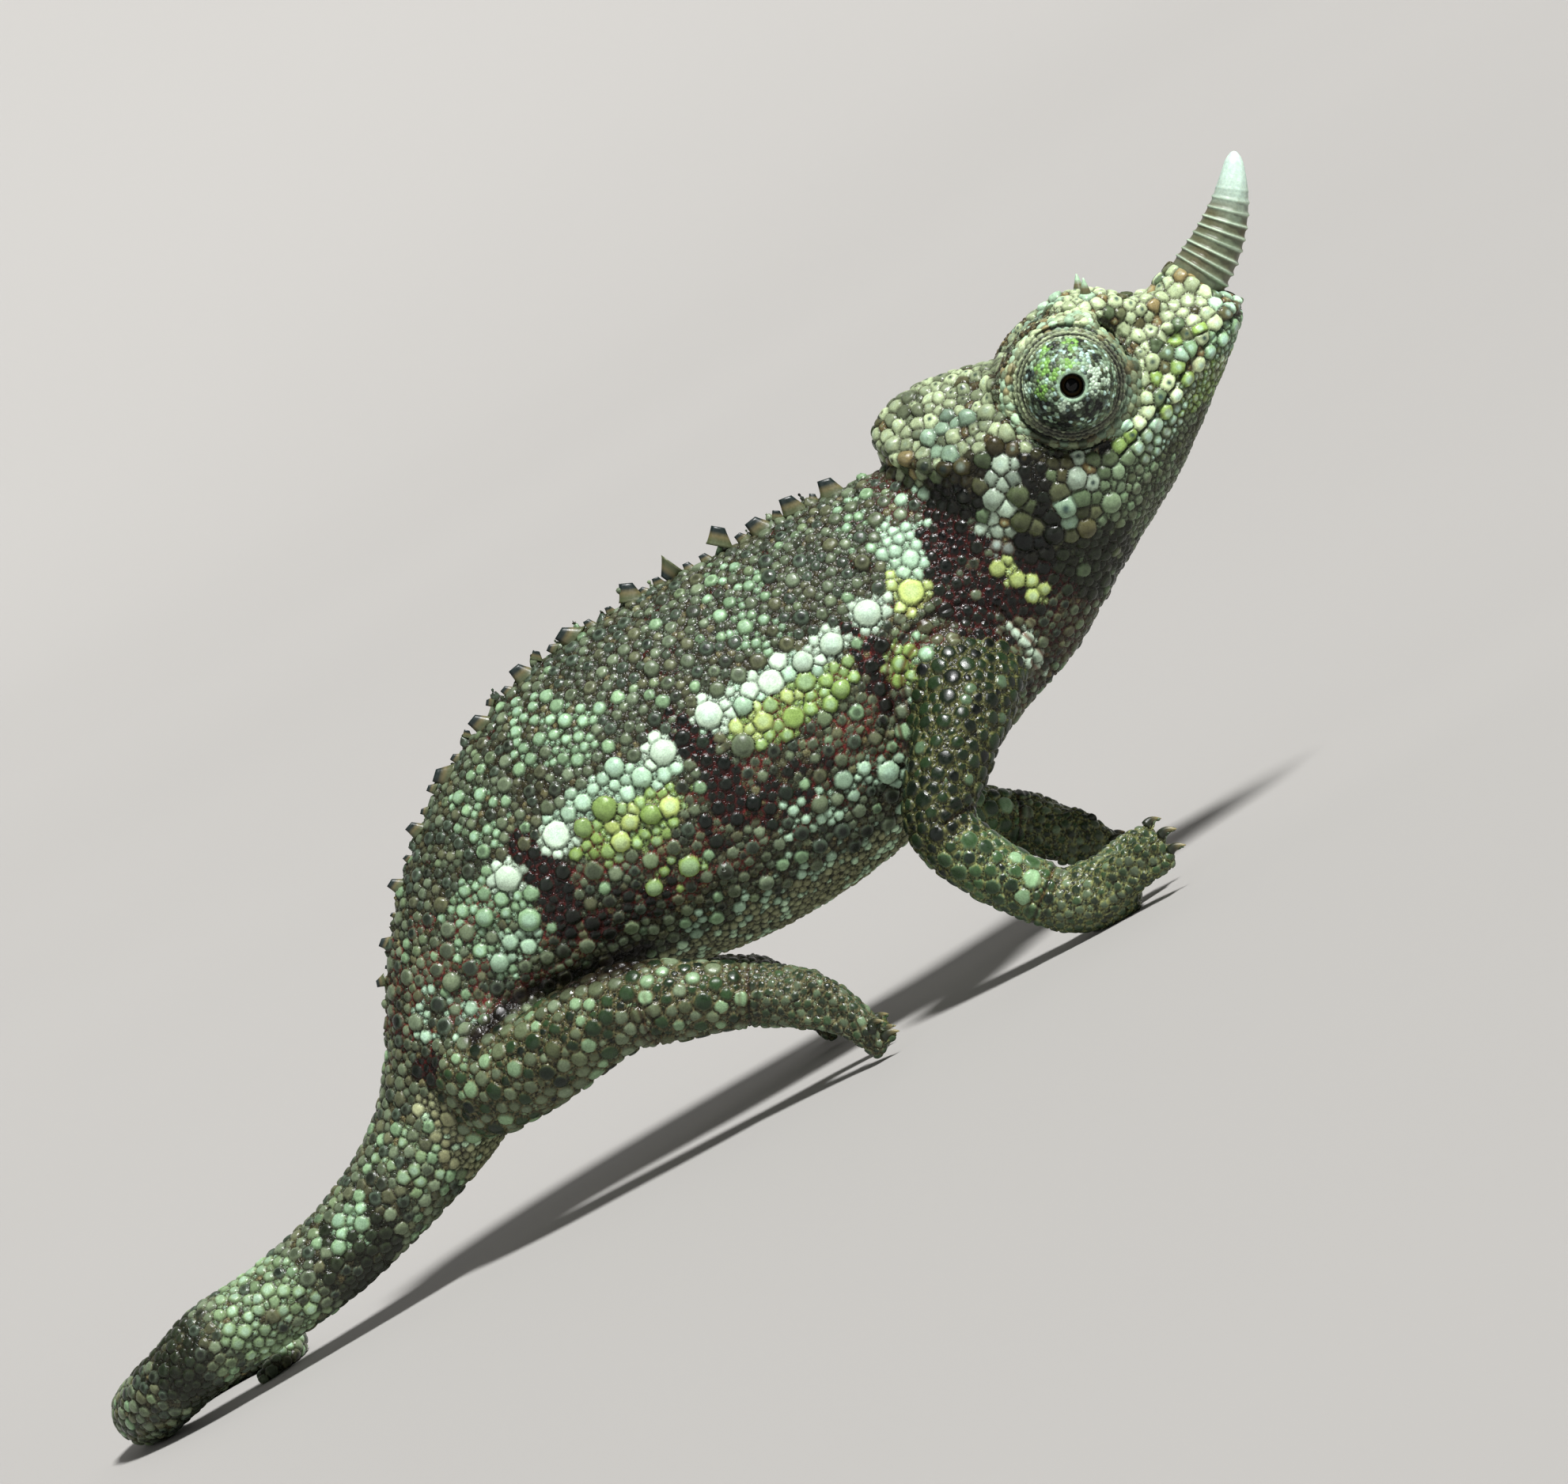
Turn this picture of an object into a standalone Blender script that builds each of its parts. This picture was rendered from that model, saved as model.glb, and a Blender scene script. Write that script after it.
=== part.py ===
"""Life-size model of a standing one-horned Jackson's chameleon, a young female.

Lengths below are in millimetres, and MM turns them into Blender's metres.
+X points to the head, +Z is up, and the animal's right side is towards -Y.
The profile is given by sections: the top and bottom point of each section in
the plane of symmetry, and its half width.
"""

import math
import random

import bmesh
import bpy
from mathutils import Matrix, Vector
from mathutils.bvhtree import BVHTree

MM = 0.001
GAP = 0.3  # clearance between two neighbouring pieces
UP = Vector((0, 0, 1))
RIGHT, LEFT = -1, 1

TRUNK_SIDES = 24
HEAD_SIDES = 22
TAIL_SIDES = 14
LIMB_SIDES = 12
TOE_SIDES = 7

# Trunk and tail sections: x and z of the back, x and z of the belly, half width
TRUNK = [
    (24.6, 34.2, 33.0, 18.4, 5.5),
    (23.0, 34.3, 28.6, 16.0, 5.3),
    (20.5, 34.5, 24.5, 14.7, 6.1),
    (16.0, 34.7, 19.0, 12.4, 7.0),
    (11.0, 34.8, 12.5, 10.6, 7.6),
    (5.0, 35.0, 6.0, 9.9, 8.0),
    (-1.0, 34.7, 0.0, 10.1, 8.0),
    (-6.5, 33.6, -5.0, 11.0, 7.5),
    (-11.5, 31.4, -9.5, 11.2, 6.6),
    (-16.0, 28.6, -14.0, 10.2, 5.6),
    (-20.0, 25.0, -18.0, 8.8, 4.9),
    (-23.0, 21.1, -21.0, 7.3, 4.5),
    (-25.4, 17.2, -24.0, 6.0, 4.2),
    (-28.0, 13.7, -27.0, 5.0, 3.8),
    (-31.5, 11.0, -31.0, 3.8, 3.4),
    (-36.0, 9.1, -36.0, 2.6, 3.1),
    (-41.0, 8.0, -41.0, 2.1, 2.95),
    (-43.5, 7.8, -43.5, 1.9, 2.9),
]
TRUNK_TOP = 1.25  # over 1 draws the section to a ridge along the back
TRUNK_SAG = 0.10  # share by which the belly half is wider than the back half
NECK_END, CHEST_END, BELLY_END, HIPS_END, TAIL_BASE_END = 1.7, 4.2, 7.5, 12.4, 15.0

# Head sections, back to snout: the same five values, then the top's sharpness
HEAD = [
    (24.28, 34.8, 33.0, 18.4, 5.6, 1.3),
    (25.0, 36.7, 34.2, 19.2, 6.1, 1.4),
    (27.6, 37.8, 35.6, 20.0, 6.8, 1.4),
    (31.0, 37.5, 37.2, 20.9, 7.0, 1.3),
    (34.0, 36.9, 39.0, 21.9, 6.6, 1.1),
    (37.0, 37.2, 41.0, 23.0, 5.9, 0.9),
    (40.0, 37.6, 43.0, 24.3, 5.2, 0.85),
    (42.6, 36.8, 45.0, 25.8, 4.6, 0.85),
    (44.6, 35.4, 46.8, 27.2, 4.1, 0.9),
    (47.0, 35.2, 48.6, 28.6, 3.6, 0.95),
    (49.2, 34.5, 50.0, 29.8, 3.0, 1.0),
    (50.6, 33.2, 50.9, 30.6, 2.2, 1.0),
    (51.3, 32.3, 51.4, 31.4, 1.1, 1.0),
]
HEAD_SAG = 0.08
SNOUT_TIP = (51.7, 31.8)

# The mouth's line in profile, from ahead of the snout to the corner, then the back of the jaw
MOUTH = [(53.0, 31.9), (50.8, 31.3), (47.2, 30.5), (44.8, 29.5), (42.4, 28.3), (39.6, 27.4), (36.8, 26.0)]
JAW_BACK = [(34.6, 23.6), (34.0, 21.0), (34.6, 16.0)]
LIP_RADIUS = 0.42
LIP_END_RADIUS = 0.3
LIP_OFFSET = 0.45  # from the mouth's line to the middle of either lip
LIP_SINK = 0.35  # share of a lip's radius that lies under the skin

EYE_X, EYE_Z = 38.1, 33.2
EYE_REACH = 9.3  # from the plane of symmetry to the lid's rim
TURRET_RADIUS = 4.1
PUPIL_RADIUS = 0.85
SOCKET_DEPTH = (3.2, 12.0)  # from where to where the head is opened, out from the plane of symmetry
EYEBALL_RADIUS, EYEBALL_OUT = 1.22, 7.65
NOSTRIL = (46.0, 32.4)
NOSTRIL_RADII = (0.625, 0.5, 0.35)

# A lid's section: distance from the eye's axis and from the plane of symmetry
LID_PROFILE = [
    (0, 3.6), (TURRET_RADIUS, 3.6), (TURRET_RADIUS, 6.0), (3.95, 6.5), (3.72, 6.62), (3.5, 6.45),
    (3.38, 6.6), (3.3, 7.1), (3.0, 7.7), (2.55, 8.25), (2.0, 8.75), (1.5, 9.1), (1.2, EYE_REACH + 0.05),
    (PUPIL_RADIUS + 0.12, EYE_REACH - 0.12), (PUPIL_RADIUS + 0.12, 8.5), (1.35, 8.2), (1.6, 7.7),
    (1.35, 7.0), (0.8, 6.5), (0, 6.3),
]

# The ridge over the eye: x, distance from the plane of symmetry, z, radii up and across
BROW = [
    (33.4, 4.0, 34.4, 1.0, 1.4),
    (35.6, 3.6, 35.5, 1.7, 2.0),
    (38.2, 3.4, 36.2, 2.1, 2.2),
    (40.8, 3.2, 36.5, 2.0, 2.0),
    (42.6, 3.0, 36.0, 1.7, 1.5),
    (44.4, 2.7, 34.8, 1.4, 1.0),
    (46.6, 2.2, 34.5, 1.0, 0.8),
]

BROW_SPIKE = (42.3, 3.6, 37.3)  # x, distance from the plane of symmetry, z
BROW_SPIKE_LEAN, BROW_SPIKE_SIZE = math.radians(24), 1.15

HORN_BASE = (49.85, 34.75)
HORN_LENGTH = 9.1
HORN_RADIUS = 2.1
HORN_RINGS = 10
HORN_SIDES = 14
HORN_FLATNESS = 0.92  # width of the horn as a share of its depth
HORN_LEAN, HORN_CURL = math.radians(27), math.radians(36)
HORN_SWELLS = (0.054, 0.0, -0.042)  # share of the radius on a ridge, beside it and in the hollow
HORN_SEAT = ((4.6, 2.4), (2.6, 2.55), (1.2, 2.45), (0.0, 2.25))  # distance behind the horn, radius

# The tail's flat curl on the floor: centre, radii of its line and turn
CURL_X, CURL_Y = -46.8, 7.9
CURL_OUTER, CURL_INNER = 7.9, 3.9
CURL_TURN = math.radians(335)  # clockwise from above
CURL_STEPS = 16
CURL_CUTS = (0.3, 0.62)  # shares of the turn
TAIL_ROOT = [(-41.0, 0.0, 5.05, 2.95, 2.95), (-43.5, 0.0, 4.85, 2.95, 2.9)]
TAIL_THICK, TAIL_THIN = 2.9, 0.45
TAIL_SOLE = 0.93  # height of the tail's line over the floor, as a share of its radius
TAIL_LIFT, LIFTED_SHARE = 1.95, 0.24  # height over that where the curl starts, and where it ends

# Limb lines: x, distance from the plane of symmetry, z, then the radii up and across
RIGHT_ARM = [
    (24.0, 2.4, 20.4, 4.0, 2.5),
    (22.2, 5.4, 19.0, 3.8, 2.7),
    (19.2, 8.0, 16.2, 3.1, 2.7),
    (16.3, 9.6, 13.4, 2.6, 2.5),
    (15.2, 10.3, 11.2, 2.5, 2.4),
    (16.0, 10.8, 8.8, 2.3, 2.3),
    (17.5, 11.2, 6.0, 2.2, 2.2),
    (19.4, 11.5, 3.6, 2.2, 2.1),
]
LEFT_ARM = [
    (24.0, 2.4, 20.4, 4.0, 2.5),
    (22.2, 5.4, 19.2, 3.8, 2.7),
    (19.2, 7.6, 16.8, 3.1, 2.7),
    (16.5, 8.9, 14.2, 2.6, 2.5),
    (15.6, 9.8, 12.0, 2.5, 2.4),
    (16.6, 10.8, 9.9, 2.4, 2.3),
    (18.4, 11.8, 8.2, 2.3, 2.2),
    (20.2, 12.5, 6.9, 2.2, 2.1),
]
LEG = [
    (-23.4, 1.6, 11.6, 3.6, 2.4),
    (-21.0, 4.4, 11.0, 3.5, 2.6),
    (-17.0, 6.8, 11.0, 3.35, 2.8),
    (-13.0, 8.4, 11.6, 3.3, 2.8),
    (-9.6, 9.5, 11.6, 3.1, 2.6),
    (-7.0, 10.1, 10.5, 2.9, 2.5),
    (-4.3, 10.5, 9.3, 2.5, 2.3),
    (-1.8, 10.8, 8.0, 2.25, 2.1),
]
LEFT_STRIDE = -2.6  # how far the left hind foot stands behind the right one
ELBOW, WRIST = 4.0, 7.0
KNEE, ANKLE = 4.3, 7.0

# Feet: pitch and yaw in degrees, length, palm rows (share of the length, radii up and across)
RIGHT_HAND = {
    "pitch": -4, "yaw": 6, "reach": 9.9, "palm_down": True, "bow": 0.5, "tip_height": 2.9,
    "toes": (2, 3),
    "palm": ((0.3, 2.6, 2.5), (0.52, 2.3, 2.3)),
}
LEFT_HAND = {
    "pitch": -46, "yaw": 6, "reach": 9.0, "palm_down": False, "bow": 0.6, "tip_height": 1.0,
    "toes": (2, 3),
    "palm": ((0.3, 2.05, 2.5), (0.52, 1.7, 2.3)),
}
HIND_FOOT = {
    "pitch": -31, "yaw": 8, "reach": 8.7, "palm_down": False, "bow": 1.5, "tip_height": 1.0,
    "toes": (3, 2),
    "palm": ((0.3, 2.15, 2.5), (0.52, 1.9, 2.3)),
}
SOLE_SHARE = 0.86  # height of a toe's line over the floor, as a share of its radius
TOE_RADIUS = 1.0
TOE_RINGS = 5
TOE_PITCH = 1.5
TRIPLE_RADIUS, TRIPLE_PITCH = 0.9, 0.86  # how much thinner and closer three toes are than two
TOE_ROOT = 0.36  # share of the foot's length where the toes part
BUNDLE_OFFSET = 1.25  # from the foot's line to the roots of either bundle
OUTER_BUNDLE, INNER_BUNDLE = (1, 1.0, 1.6), (-1, 0.9, 1.5)  # side, share of the length, splay
PALM_ROOT = (-1.2, 0.7)  # the palm's first two rows, along the shin from its end
CLAW_LENGTH, CLAW_RADIUS, CLAW_RISE = 1.05, 0.34, math.radians(24)

SPINE_HEIGHT, SPINE_LENGTH, SPINE_WIDTH = 1.05, 1.5, 0.95
SPINE_ROOT = 0.55  # how deep a spine is sunk
SPINE_LEAN = 0.35
SPINE_PITCH = 3.7
SCUTE_HEIGHT, SCUTE_ROOT, SCUTE_TOP = 0.28, 0.35, 0.55  # height, depth sunk, radius at the top as a share

# Large round plates of the flank: x, z and radius
PLATES = [
    (21.9, 31.6, 0.6), (19.6, 29.6, 0.6), (22.6, 28.2, 0.7), (21.5, 26.2, 0.95), (18.2, 26.6, 1),
    (18.4, 22.4, 0.6), (13.6, 31.9, 0.55), (10.4, 29.8, 0.6), (15, 26, 0.85), (12.6, 25.9, 0.75),
    (10, 25.8, 0.9), (7.6, 25.4, 0.7), (5.2, 26, 1), (14, 22.9, 0.7), (10.2, 23, 0.8),
    (6.2, 23, 0.85), (3.4, 30.6, 0.6), (1.2, 25.3, 0.95), (-0.9, 24.6, 0.75), (-2.2, 26.1, 0.75),
    (-4.2, 24, 0.9), (-6.2, 23.6, 0.7), (-8, 23.9, 1), (-1.6, 22, 0.75), (-4.4, 21.4, 0.75),
    (-7, 20.6, 0.7), (-3.6, 30.4, 0.55), (-9.4, 28.6, 0.6), (-12.5, 23, 0.95), (-12.6, 19.8, 0.85),
    (-15.2, 21.4, 0.7), (-15.8, 18.2, 0.7), (-17.4, 23.6, 0.55), (-19.4, 18.6, 0.7),
    (-21.4, 16.2, 0.65), (14, 16.2, 0.85), (11, 17.4, 0.7), (8.7, 16.8, 0.65), (7.3, 14.2, 0.6),
    (2.8, 13.8, 0.6), (0.8, 16, 0.65), (-1.2, 17.6, 0.8), (-4, 17.5, 0.65), (4.8, 19.2, 0.6),
]
PLATE_DRIFT = 0.35  # how far the left side's plates stray from a mirror image

# Plates of the head by radius: the lateral crest, the crown, the temple, the cheek and the snout
HEAD_PLATES = [
    (0.56, [(25.6, 35.4), (25.9, 34.2), (26.7, 33.2), (27.8, 32.4)]),
    (0.56, [(29.0, 31.8), (30.3, 31.6), (31.6, 31.9), (32.8, 32.5)]),
    (0.5, [(26.6, 36.4), (28.2, 36.7), (29.9, 36.7), (31.6, 36.4), (33.2, 35.9)]),
    (0.66, [(27.8, 34.9), (29.3, 34.2), (30.8, 34.9), (32.2, 34.4), (28.6, 33.2)]),
    (0.74, [(29.6, 28.9), (31.2, 28.3), (30.4, 26.6), (33.6, 25.9)]),
    (0.74, [(35.3, 27.3), (34.2, 23.9), (32.0, 24.6), (36.6, 24.6)]),
    (0.55, [(44.0, 33.6), (43.9, 31.6), (45.9, 30.9), (47.8, 31.7), (42.3, 29.6), (40.2, 28.6)]),
]

SKIN = ("skin", (0.20, 0.21, 0.12, 1), 0.62)
SKIN_PALE = ("skin_pale", (0.42, 0.45, 0.30, 1), 0.6)
LID = ("eyelid", (0.28, 0.34, 0.20, 1), 0.6)
EYE = ("eye", (0.01, 0.01, 0.01, 1), 0.08)
HORN = ("horn", (0.45, 0.40, 0.26, 1), 0.5)


def clear_scene():
    """Removes every object of the open file."""
    for obj in list(bpy.data.objects):
        bpy.data.objects.remove(obj, do_unlink=True)


def material(finish):
    """Returns the Principled material of a finish: its name, colour and roughness."""
    name, colour, roughness = finish
    made = bpy.data.materials.get(name)
    if made is None:
        made = bpy.data.materials.new(name)
        made.use_nodes = True
        shader = made.node_tree.nodes["Principled BSDF"]
        shader.inputs["Base Color"].default_value = colour
        shader.inputs["Roughness"].default_value = roughness
        shader.inputs["Metallic"].default_value = 0.0
    return made


def new_object(name, bm, finish, collection):
    """Turns a bmesh into a named object whose faces point out."""
    bmesh.ops.recalc_face_normals(bm, faces=bm.faces[:])
    mesh = bpy.data.meshes.new(name)
    bm.to_mesh(mesh)
    bm.free()
    mesh.materials.append(material(finish))
    obj = bpy.data.objects.new(name, mesh)
    collection.objects.link(obj)
    return obj


def interpolate(rows, t):
    """Returns the row at the real index t, on a Catmull-Rom curve through all rows."""
    last = len(rows) - 1
    i = min(max(int(math.floor(t)), 0), last - 1)
    u = t - i
    before, here = rows[max(i - 1, 0)], rows[i]
    there, after = rows[i + 1], rows[min(i + 2, last)]
    return [
        0.5 * (2 * b + (c - a) * u + (2 * a - 5 * b + 4 * c - d) * u**2 + (3 * b - a - 3 * c + d) * u**3)
        for a, b, c, d in zip(before, here, there, after)
    ]


def section_ring(row, sides, top, sag, grow=0.0):
    """Points of one body section, from the back down the right side and up the left."""
    x_top, z_top, x_low, z_low, half = row[:5]
    crown, keel = Vector((x_top, 0, z_top)), Vector((x_low, 0, z_low))
    middle, reach = (crown + keel) / 2, (crown - keel) / 2
    reach = reach * (1 + grow / reach.length)
    points = []
    for k in range(sides):
        angle = math.tau * k / sides
        rise, out = math.cos(angle), math.sin(angle)
        sharp = top if rise > 0 else 0.92
        width = (half + grow) * abs(out) ** sharp * (1 - sag * rise)
        points.append(middle + reach * rise - Vector((0, math.copysign(width, out), 0)))
    return points


def loft(name, rings, finish, collection, nose=None, tip=None):
    """Skins closed rings into one solid, with a point at either end where one is given."""
    bm = bmesh.new()
    loops = [[bm.verts.new(p * MM) for p in ring] for ring in rings]
    count = len(loops[0])
    for one, two in zip(loops, loops[1:]):
        for k in range(count):
            n = (k + 1) % count
            bm.faces.new((one[k], one[n], two[n], two[k]))
    for loop, point in ((loops[0], nose), (loops[-1], tip)):
        if point is None:
            bm.faces.new(loop)
            continue
        pole = bm.verts.new(point * MM)
        for k in range(count):
            bm.faces.new((loop[k], loop[(k + 1) % count], pole))
    return new_object(name, bm, finish, collection)


def shifted(ring, distance):
    """A ring moved along its own normal, head to tail, by a distance."""
    normal = (ring[len(ring) // 4] - ring[0]).cross(ring[0] - ring[len(ring) // 2]).normalized()
    return [p + normal * distance for p in ring]


def span(start, end, pitch):
    """Real indices from start to end, both included, about pitch apart."""
    steps = max(1, round(abs(end - start) / pitch))
    return [start + (end - start) * k / steps for k in range(steps + 1)]


def trunk_row(t):
    """The trunk's section at the real index t."""
    return interpolate(TRUNK, t)


def trunk_rings(start, end, sides, grow=0.0):
    """Rings of the trunk between two indices, with half the gap taken off both ends."""
    rings = [section_ring(trunk_row(t), sides, TRUNK_TOP, TRUNK_SAG, grow) for t in span(start, end, 0.4)]
    rings[0] = shifted(rings[0], GAP / 2)
    rings[-1] = shifted(rings[-1], -GAP / 2)
    return rings


def surface_of(obj):
    """A ray-casting tree of an object's mesh."""
    bm = bmesh.new()
    bm.from_mesh(obj.data)
    tree = BVHTree.FromBMesh(bm)
    bm.free()
    return tree


def side_point(tree, x, z, side):
    """Where a level line from the side meets the surface at x and z, with its normal, in mm."""
    origin = Vector((x * MM, side * 0.05, z * MM))
    place, normal, _, _ = tree.ray_cast(origin, Vector((0, -side, 0)))
    return (None, None) if place is None else (place / MM, normal)


def joined(base, pieces):
    """Fuses the pieces into the base with one union and keeps its largest closed surface."""
    group = bpy.data.collections.new(base.name + "_pieces")
    for piece in pieces:
        for owner in list(piece.users_collection):
            owner.objects.unlink(piece)
        group.objects.link(piece)
    bpy.context.scene.collection.children.link(group)
    union = base.modifiers.new("union", "BOOLEAN")
    union.operation = "UNION"
    union.operand_type = "COLLECTION"
    union.collection = group
    union.solver = "EXACT"
    applied(base)
    for piece in pieces:
        bpy.data.objects.remove(piece, do_unlink=True)
    bpy.data.collections.remove(group)
    keep_largest(base)
    return base


def cut(obj, cutter, solver="EXACT"):
    """Takes the cutter out of the object."""
    modifier = obj.modifiers.new("cut", "BOOLEAN")
    modifier.operation = "DIFFERENCE"
    modifier.object = cutter
    modifier.solver = solver
    applied(obj)


def applied(obj):
    """Bakes an object's modifiers into its mesh."""
    bpy.context.view_layer.update()
    graph = bpy.context.evaluated_depsgraph_get()
    mesh = bpy.data.meshes.new_from_object(obj.evaluated_get(graph))
    obj.modifiers.clear()
    obj.data = mesh


def islands_of(bm):
    """The connected groups of faces of a bmesh."""
    left, found = set(bm.faces), []
    while left:
        stack, group = [left.pop()], []
        while stack:
            face = stack.pop()
            group.append(face)
            for edge in face.edges:
                for near in edge.link_faces:
                    if near in left:
                        left.remove(near)
                        stack.append(near)
        found.append(group)
    return found


def keep_largest(obj):
    """Drops every closed surface of an object except the one with the most area."""
    bm = bmesh.new()
    bm.from_mesh(obj.data)
    groups = sorted(islands_of(bm), key=lambda g: sum(f.calc_area() for f in g))
    spare = [face for group in groups[:-1] for face in group]
    if spare:
        bmesh.ops.delete(bm, geom=spare, context="FACES")
    bmesh.ops.dissolve_degenerate(bm, edges=bm.edges[:], dist=1e-7)
    bm.to_mesh(obj.data)
    bm.free()


def tube(
    name, rows, reach, finish, collection, sides,
    flat=False, level=False, gaps=(0.0, 0.0), pointed=(False, True),
):
    """A solid along rows of x, y, z, radius up and radius across, between two real indices.

    reach is the first index, the last one and the pitch between rings. level keeps
    the rings upright, for a line that may run along Y.
    """
    loops, ways = [], []
    for t in span(*reach):
        row = interpolate(rows, t)
        ahead = Vector(interpolate(rows, t + 0.05)[:3]) - Vector(interpolate(rows, t - 0.05)[:3])
        if level:
            ahead.z = 0
        ahead.normalize()
        across = UP.cross(ahead) if level else Vector((0, 1, 0)) - ahead * ahead.y
        across.normalize()
        rise = ahead.cross(across)
        angles = [math.tau * k / sides for k in range(sides)]
        centre = Vector(row[:3])
        loops.append([centre + rise * row[3] * math.cos(a) + across * row[4] * math.sin(a) for a in angles])
        ways.append(ahead)
    loops[0] = [p + ways[0] * gaps[0] for p in loops[0]]
    loops[-1] = [p - ways[-1] * gaps[1] for p in loops[-1]]
    ends = []
    for k, t, sharp, way in ((0, reach[0], pointed[0], -1), (-1, reach[1], pointed[1], 1)):
        centre = sum(loops[k], Vector()) / sides
        ends.append(centre + ways[k] * way * 0.45 * min(interpolate(rows, t)[3:]) if sharp else None)
    if flat:
        loops = [[Vector((p.x, p.y, max(p.z, 0.0))) for p in loop] for loop in loops]
    return loft(name, loops, finish, collection, nose=ends[0], tip=ends[1])


def tail_line():
    """The tail's line: the end of its straight part, then the flat curl down to the floor."""
    rows = list(TAIL_ROOT)
    for k in range(CURL_STEPS + 1):
        share = k / CURL_STEPS
        angle = -math.pi / 2 - CURL_TURN * share
        radius = CURL_OUTER + (CURL_INNER - CURL_OUTER) * share**0.8
        thick = TAIL_THIN + (TAIL_THICK - TAIL_THIN) * (1 - share) ** 0.85
        lifted = TAIL_LIFT * max(0.0, 1 - share / LIFTED_SHARE) ** 1.5
        height = thick * TAIL_SOLE + lifted
        x, y = CURL_X + radius * math.cos(angle), CURL_Y + radius * math.sin(angle)
        rows.append((x, y, height, thick, thick))
    return rows


def make_tail(collection):
    """The tail behind the hips, in five lengths."""
    nodes = []
    for name, start, end in (("tail_base", HIPS_END, TAIL_BASE_END), ("tail_middle", TAIL_BASE_END, 17.0)):
        nodes.append(loft(name, trunk_rings(start, end, TAIL_SIDES), SKIN, collection))
    marks = [1.0] + [2.0 + CURL_STEPS * share for share in CURL_CUTS + (1.0,)]
    for name, start, end in zip(("tail_bend", "tail_curl", "tail_tip"), marks, marks[1:]):
        last = name == "tail_tip"
        node = tube(
            name, tail_line(), (start, end, 0.5), SKIN, collection, TAIL_SIDES, flat=True, level=True,
            gaps=(GAP / 2, 0 if last else GAP / 2), pointed=(False, last),
        )
        nodes.append(node)
    return nodes


def spine(place, lean, size, collection):
    """One crest spine: a thin cone whose root is sunk into the back and whose tip leans back."""
    bm = bmesh.new()
    depth = (SPINE_HEIGHT * size + SPINE_ROOT) * MM
    bmesh.ops.create_cone(bm, cap_ends=True, segments=5, radius1=0.5 * MM, radius2=0.05 * MM, depth=depth)
    bmesh.ops.translate(bm, verts=bm.verts[:], vec=(0, 0, (SPINE_HEIGHT * size - SPINE_ROOT) / 2 * MM))
    bmesh.ops.scale(bm, verts=bm.verts[:], vec=(SPINE_LENGTH * size, SPINE_WIDTH * size, 1))
    for vert in bm.verts:
        vert.co.x -= SPINE_LEAN * max(vert.co.z, 0)
    bmesh.ops.rotate(bm, verts=bm.verts[:], matrix=Matrix.Rotation(-lean, 3, "Y"))
    bmesh.ops.translate(bm, verts=bm.verts[:], vec=place * MM)
    return new_object("spine", bm, SKIN, collection)


def crest_spines(start, end, collection):
    """The spines of the back between two trunk indices: large ones with a small one between."""
    made = []
    travelled, pitch, large = 0.0, SPINE_PITCH / 2, True
    previous = Vector((TRUNK[0][0], 0, TRUNK[0][1]))
    for t in span(0.0, 13.0, 0.02):
        row = trunk_row(t)
        crown = Vector((row[0], 0, row[1]))
        travelled += (crown - previous).length
        along, previous = crown - previous, crown
        if travelled < pitch:
            continue
        travelled, large = 0.0, not large
        fade = 1 - 0.6 * max(t - 7.0, 0) / 6
        size = fade * (1.0 if large else 0.55)
        pitch = SPINE_PITCH / 2 * (0.72 if t < 3 else 1.0)
        lean = math.atan2(-along.z, -along.x)
        if start + 0.25 < t < end - 0.25:
            made.append(spine(crown, -lean, size, collection))
    return made


def scute(place, normal, radius, collection):
    """One raised round plate: a low six-sided frustum, sunk into the skin."""
    bm = bmesh.new()
    depth, low, high = (SCUTE_HEIGHT + SCUTE_ROOT) * MM, radius * MM, radius * SCUTE_TOP * MM
    bmesh.ops.create_cone(bm, cap_ends=True, segments=6, radius1=low, radius2=high, depth=depth)
    bmesh.ops.translate(bm, verts=bm.verts[:], vec=(0, 0, (SCUTE_HEIGHT - SCUTE_ROOT) / 2 * MM))
    turn = UP.rotation_difference(normal).to_matrix()
    bmesh.ops.rotate(bm, verts=bm.verts[:], matrix=turn)
    bmesh.ops.translate(bm, verts=bm.verts[:], vec=place * MM)
    return new_object("scute", bm, SKIN_PALE, collection)


def flank_scutes(tree, x_low, x_high, collection):
    """The large plates of both flanks, between two stations of the trunk."""
    draw = random.Random(11)
    made = []
    for x, z, radius in PLATES:
        for side in (RIGHT, LEFT):
            stray = PLATE_DRIFT if side == LEFT else 0.0
            at, level = x + draw.uniform(-stray, stray), z + draw.uniform(-stray, stray)
            if not x_low + radius + GAP < at < x_high - radius - GAP:
                continue
            place, normal = side_point(tree, at, level, side)
            if place is not None:
                made.append(scute(place, normal, radius, collection))
    return made


def make_trunk(collection):
    """Neck, chest, belly and hips, each with its share of spines and plates."""
    whole = loft("whole_trunk", trunk_rings(0, 17.0, TRUNK_SIDES), SKIN, collection)
    tree = surface_of(whole)
    bpy.data.objects.remove(whole, do_unlink=True)
    parts = (
        ("neck", 0.0, NECK_END), ("torso_front", NECK_END, CHEST_END),
        ("torso_rear", CHEST_END, BELLY_END), ("hips", BELLY_END, HIPS_END),
    )
    nodes = []
    for name, start, end in parts:
        node = loft(name, trunk_rings(start, end, TRUNK_SIDES), SKIN, collection)
        first, last = trunk_row(start), trunk_row(end)
        high, low = min(first[0], first[2]), max(last[0], last[2])
        pieces = crest_spines(start, end, collection)
        if name != "neck":
            pieces += flank_scutes(tree, low, high, collection)
        nodes.append(joined(node, pieces))
    return nodes


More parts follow.
